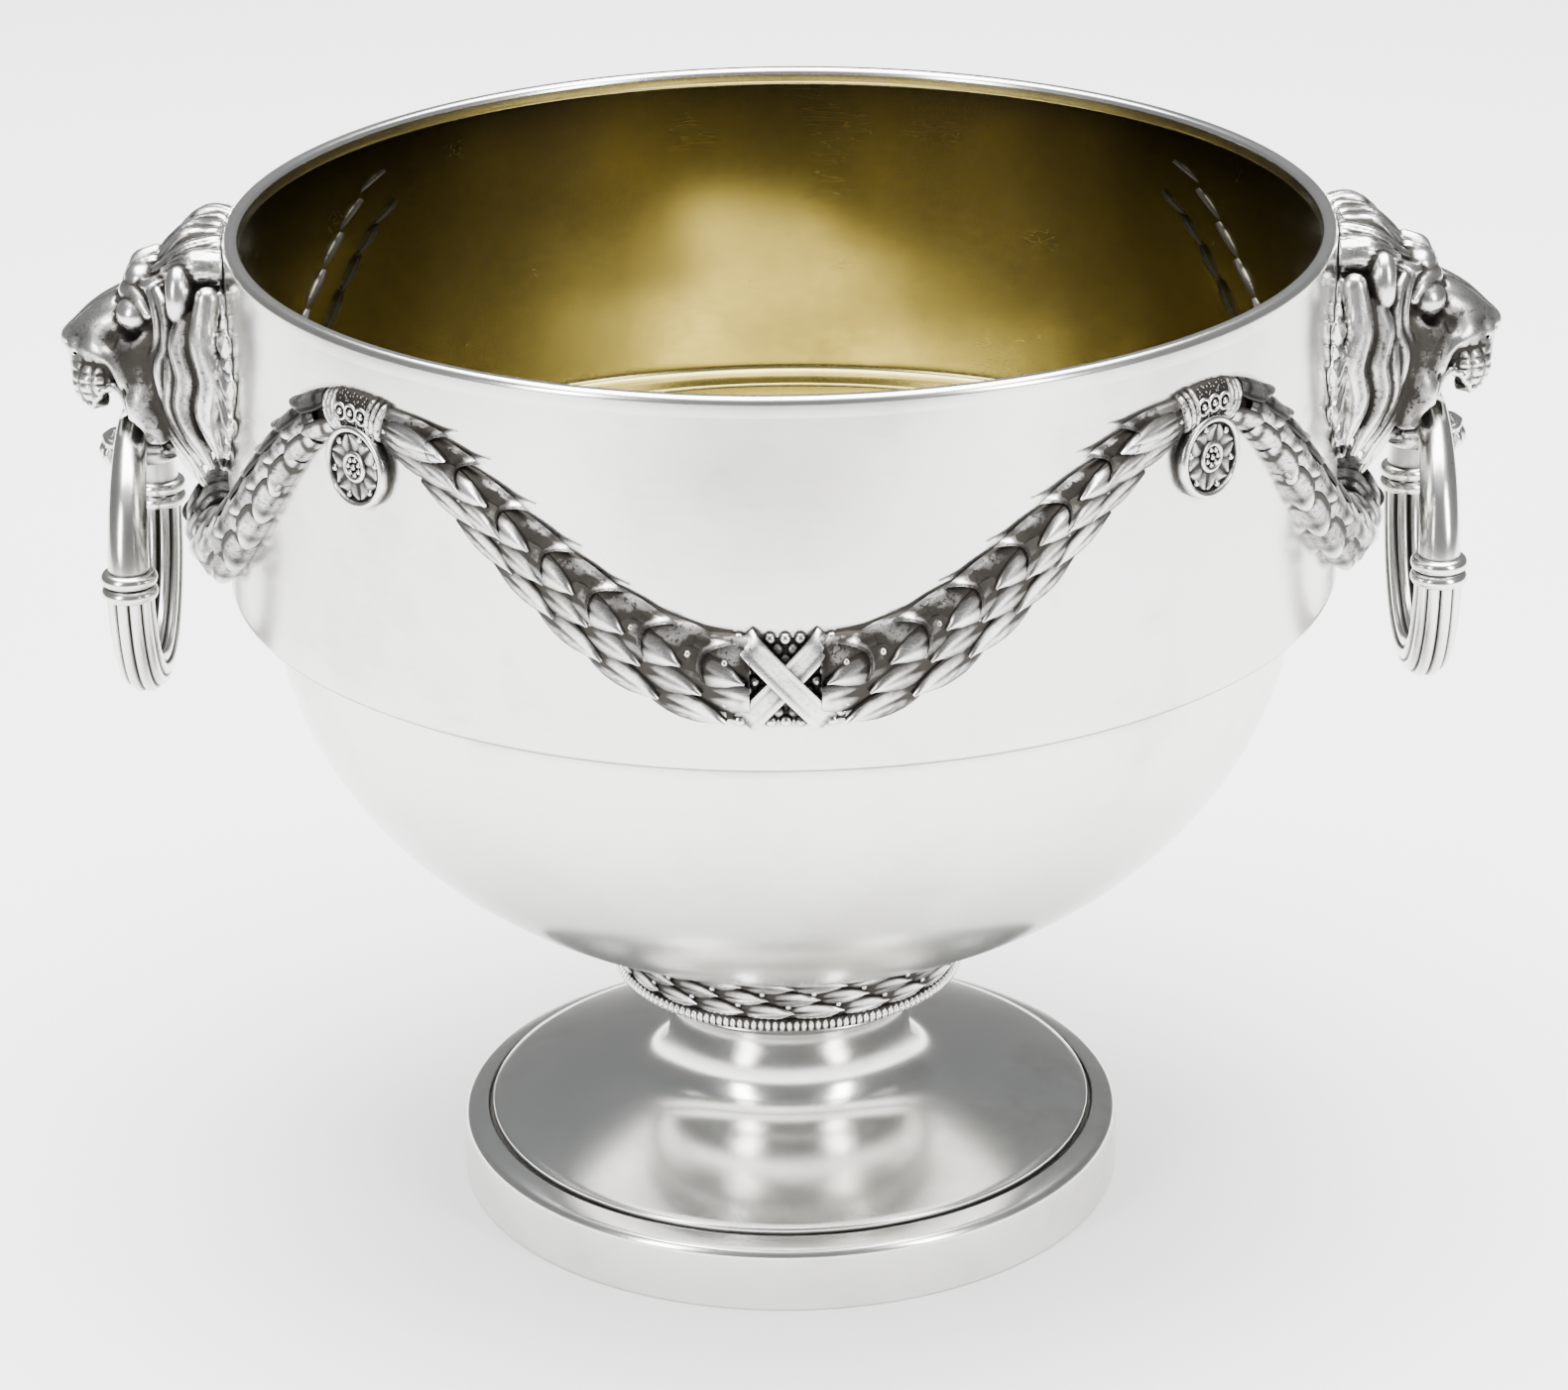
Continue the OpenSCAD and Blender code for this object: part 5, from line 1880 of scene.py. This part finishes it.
def sculpt_fringe():
    """The fringe of the mane on the wall, in flat coordinates: x off the wall and y round it."""
    clay = Clay((-0.8, -CLAY_PITCH, 185), (6.2, 44.5, 246), CLAY_PITCH)
    clay.ball((-1.5, 0, 215), (4.2, 38, 25), 0.5)
    locks = 17
    for k in range(locks):
        angle = math.radians(-86 + 172 * k / (locks - 1))
        c, s = math.cos(angle), math.sin(angle)
        outer = k % 2
        bend = 2.6 if outer else 1.4
        reach = 1.0 if outer else 0.93
        points = []
        for share, radius, lean in ((0.45, 3.0, 0), (0.62, 3.6, bend), (0.78, 3.5, 0.1 * bend),
                                    (0.90, 2.5, -0.7 * bend), (1.0, 0.7, 0.4 * bend)):
            y = 41.0 * reach * share * c - lean * s
            z = 215 + 26.2 * reach * share * s + lean * c
            height = (3.6 if outer else 3.0) * (1 - 0.45 * share**4)
            points.append((height - radius, abs(y), z, radius))
        clay.stroke(points, 0.2, hair=0.26, pitch=1.5)
    x, y, z = clay.grids()
    clay.keep_within(np.maximum(0.05 - x, x - 4.15) + 0 * y + 0 * z)
    return clay.surface(gain=1.7)


def lion_piece(name, shape, side, node, on_wall=False):
    """A sculpted piece for one node, on one side of the bucket."""
    points, faces, hollow, matt = shape
    if on_wall:
        turn = points[:, 1] / WALL_R
        r = wall_radius(points[:, 2]) + points[:, 0]
        points = np.stack([r * np.cos(turn), r * np.sin(turn), points[:, 2]], -1)
    sx = SIDES[side]
    SHADE_CASTERS.append(points * (sx, 1, 1))
    faces = faces if sx > 0 else faces[:, ::-1]
    mesh = new_mesh(name, points * (sx, 1, 1) * MM, faces, crease=180)
    turn_outwards(mesh)
    mesh.shade_smooth()
    set_attribute(mesh, "hollow", hollow)
    set_attribute(mesh, "matt", matt)
    finish_piece(new_object(name, mesh), "bucket", "cast_silver", node)


def build_lions():
    """Both lions, each of a mask, a jaw and the fringe of its mane."""
    head, jaw, fringe = sculpt_head(), sculpt_jaw(), sculpt_fringe()
    for side in SIDES:
        lion_piece(side + "_lion", head, side, "lion_head_" + side)
        lion_piece(side + "_lower_jaw", jaw, side, "lion_jaw_" + side)
        lion_piece(side + "_mane_fringe", fringe, side, "mane_plate_" + side, on_wall=True)


# ---------------------------------------------------------------------------------------------
# Stage
# ---------------------------------------------------------------------------------------------


def build_camera():
    """The camera, in front of the bucket and looking down on it."""
    stage = settings("stage")
    tilt = stage.elevation
    height = stage.distance * math.sin(tilt) + stage.aim_height
    eye = Vector((-0.38 * MM, -stage.distance * math.cos(tilt), height))
    right, up = Vector((1, 0, 0)), Vector((0, math.sin(tilt), math.cos(tilt)))
    c, s = math.cos(stage.roll), math.sin(stage.roll)
    across = c * right + s * up
    upward = -s * right + c * up
    back = across.cross(upward)
    data = bpy.data.cameras.new("camera")
    data.lens = stage.lens
    data.sensor_width = 36
    data.clip_end = 20
    camera = bpy.data.objects.new("camera", data)
    camera.matrix_world = Matrix((
        (across.x, upward.x, back.x, eye.x),
        (across.y, upward.y, back.y, eye.y),
        (across.z, upward.z, back.z, eye.z),
        (0, 0, 0, 1),
    ))
    bpy.context.scene.collection.objects.link(camera)
    bpy.context.scene.camera = camera


def softbox(name, place, aim, size, power):
    """A rectangular area light at a place, turned towards a point."""
    data = bpy.data.lights.new(name, "AREA")
    data.shape = "RECTANGLE"
    data.size, data.size_y = size
    data.energy = power
    light = bpy.data.objects.new(name, data)
    light.location = place
    light.rotation_euler = (Vector(aim) - Vector(place)).to_track_quat("-Z", "Y").to_euler()
    bpy.context.scene.collection.objects.link(light)


def build_stage():
    """The floor, the room, three soft lights and the camera."""
    stage = settings("stage")
    build_camera()
    side, front, back = 1.0, -0.95, 1.9
    floor = new_object("floor", new_mesh(
        "floor", [(-side, front, 0), (side, front, 0), (side, back, 0), (-side, back, 0)], [(0, 1, 2, 3)]
    ))
    paper = bpy.data.materials.new("floor_paper")
    paper.use_nodes = True
    net = Net(paper.node_tree)
    shader = paper.node_tree.nodes["Principled BSDF"]
    where = net.add("ShaderNodeTexCoord").outputs["Object"]
    grain = net.times(net.noise(where, 60.0, detail=4.0), 0.02)
    net.put(net.mix(grain, stage.floor[:], (0.8, 0.8, 0.8)), shader.inputs["Base Color"])
    shader.inputs["Roughness"].default_value = 0.8
    floor.data.materials.append(paper)
    build_room()
    softbox("overhead", (0, 0.2, 1.9), (0, 0.2, 0), (2.2, 2.0), 230)
    softbox("left_box", (-1.25, -1.3, 0.8), (0, 0, 0.14), (0.42, 1.1), 34)
    softbox("right_box", (1.3, -1.2, 0.85), (0, 0, 0.14), (0.42, 1.1), 34)


def build_room():
    """The world: pale below, dark at the walls and paler again overhead, with soft edges."""
    world = bpy.data.worlds.new("soft_room")
    bpy.context.scene.world = world
    world.use_nodes = True
    net = Net(world.node_tree)
    where = net.add("ShaderNodeTexCoord").outputs["Generated"]
    parts = net.add("ShaderNodeSeparateXYZ", {0: where}).outputs
    up = parts["Z"]
    level = net.step(up, -0.85, -0.15, 0.5, 0.19)
    level = net.plus(level, net.step(up, 0.62, 0.86, 0.0, 0.5))
    tone = net.mix(net.step(up, 0.0, 0.5), (1.0, 0.99, 0.975), (0.93, 0.97, 1.0))
    shader = world.node_tree.nodes["Background"]
    net.put(tone, shader.inputs["Color"])
    net.put(net.times(level, 1.5), shader.inputs["Strength"])


# ---------------------------------------------------------------------------------------------
# Operators, panel and registration
# ---------------------------------------------------------------------------------------------


class Builder:
    """What the operators share: each runs its own building steps."""

    steps = ()

    def execute(self, context):
        for step in self.steps:
            step()
        return {"FINISHED"}


class BUCKET_OT_bowl(Builder, bpy.types.Operator):
    """Build the drum, the lower bowl, the rim and the gilding"""

    bl_idname = "bucket.bowl"
    bl_label = "Bowl"
    steps = (build_rim, build_drum, build_lower_bowl, build_lining)


class BUCKET_OT_foot(Builder, bpy.types.Operator):
    """Build the foot's base and stem"""

    bl_idname = "bucket.foot"
    bl_label = "Foot"
    steps = (build_foot_base, build_foot_stem)


class BUCKET_OT_garland(Builder, bpy.types.Operator):
    """Build the swags, their ties, bindings and rosettes"""

    bl_idname = "bucket.garland"
    bl_label = "Garland"
    steps = (build_garland,)


class BUCKET_OT_collar(Builder, bpy.types.Operator):
    """Build the beads and the laurel collar between the neck and the bowl"""

    bl_idname = "bucket.collar"
    bl_label = "Collar"
    steps = (build_bead_wire, build_collar)


class BUCKET_OT_rings(Builder, bpy.types.Operator):
    """Build the two rings"""

    bl_idname = "bucket.rings"
    bl_label = "Rings"
    steps = (build_rings,)


class BUCKET_OT_lions(Builder, bpy.types.Operator):
    """Sculpt the two lion masks with their jaws and manes"""

    bl_idname = "bucket.lions"
    bl_label = "Lions"
    steps = (build_lions,)


class BUCKET_OT_stage(Builder, bpy.types.Operator):
    """Set up the floor, the light and the camera"""

    bl_idname = "bucket.stage"
    bl_label = "Stage"
    steps = (build_stage,)


class BUCKET_PT_panel(bpy.types.Panel):
    """The bucket's operators and sizes"""

    bl_idname = "BUCKET_PT_panel"
    bl_label = "Champagne bucket"
    bl_space_type = "VIEW_3D"
    bl_region_type = "UI"
    bl_category = "Bucket"

    def draw(self, context):
        layout = self.layout
        for operator in OPERATORS:
            layout.operator(operator.bl_idname)
        for name, group in GROUPS:
            box = layout.box()
            box.label(text=group.__doc__)
            for prop in group.__annotations__:
                box.prop(getattr(context.scene, name), prop)


OPERATORS = (
    BUCKET_OT_stage, BUCKET_OT_garland, BUCKET_OT_lions, BUCKET_OT_bowl, BUCKET_OT_foot,
    BUCKET_OT_collar, BUCKET_OT_rings,
)


def register():
    """Add the settings, the operators and the panel to Blender."""
    for _, group in GROUPS:
        bpy.utils.register_class(group)
    for name, group in GROUPS:
        setattr(bpy.types.Scene, name, PointerProperty(type=group))
    for cls in (*OPERATORS, BUCKET_PT_panel):
        bpy.utils.register_class(cls)


def unregister():
    """Take them away again, in the opposite order."""
    for cls in reversed((*OPERATORS, BUCKET_PT_panel)):
        bpy.utils.unregister_class(cls)
    for name, group in reversed(GROUPS):
        delattr(bpy.types.Scene, name)
        bpy.utils.unregister_class(group)


def main():
    """Build the whole bucket, ornaments before the wall that they cast painted shade on."""
    register()
    bpy.ops.bucket.stage()
    bpy.ops.bucket.garland()
    bpy.ops.bucket.lions()
    bpy.ops.bucket.bowl()
    bpy.ops.bucket.foot()
    bpy.ops.bucket.collar()
    bpy.ops.bucket.rings()


if __name__ == "__main__":
    main()
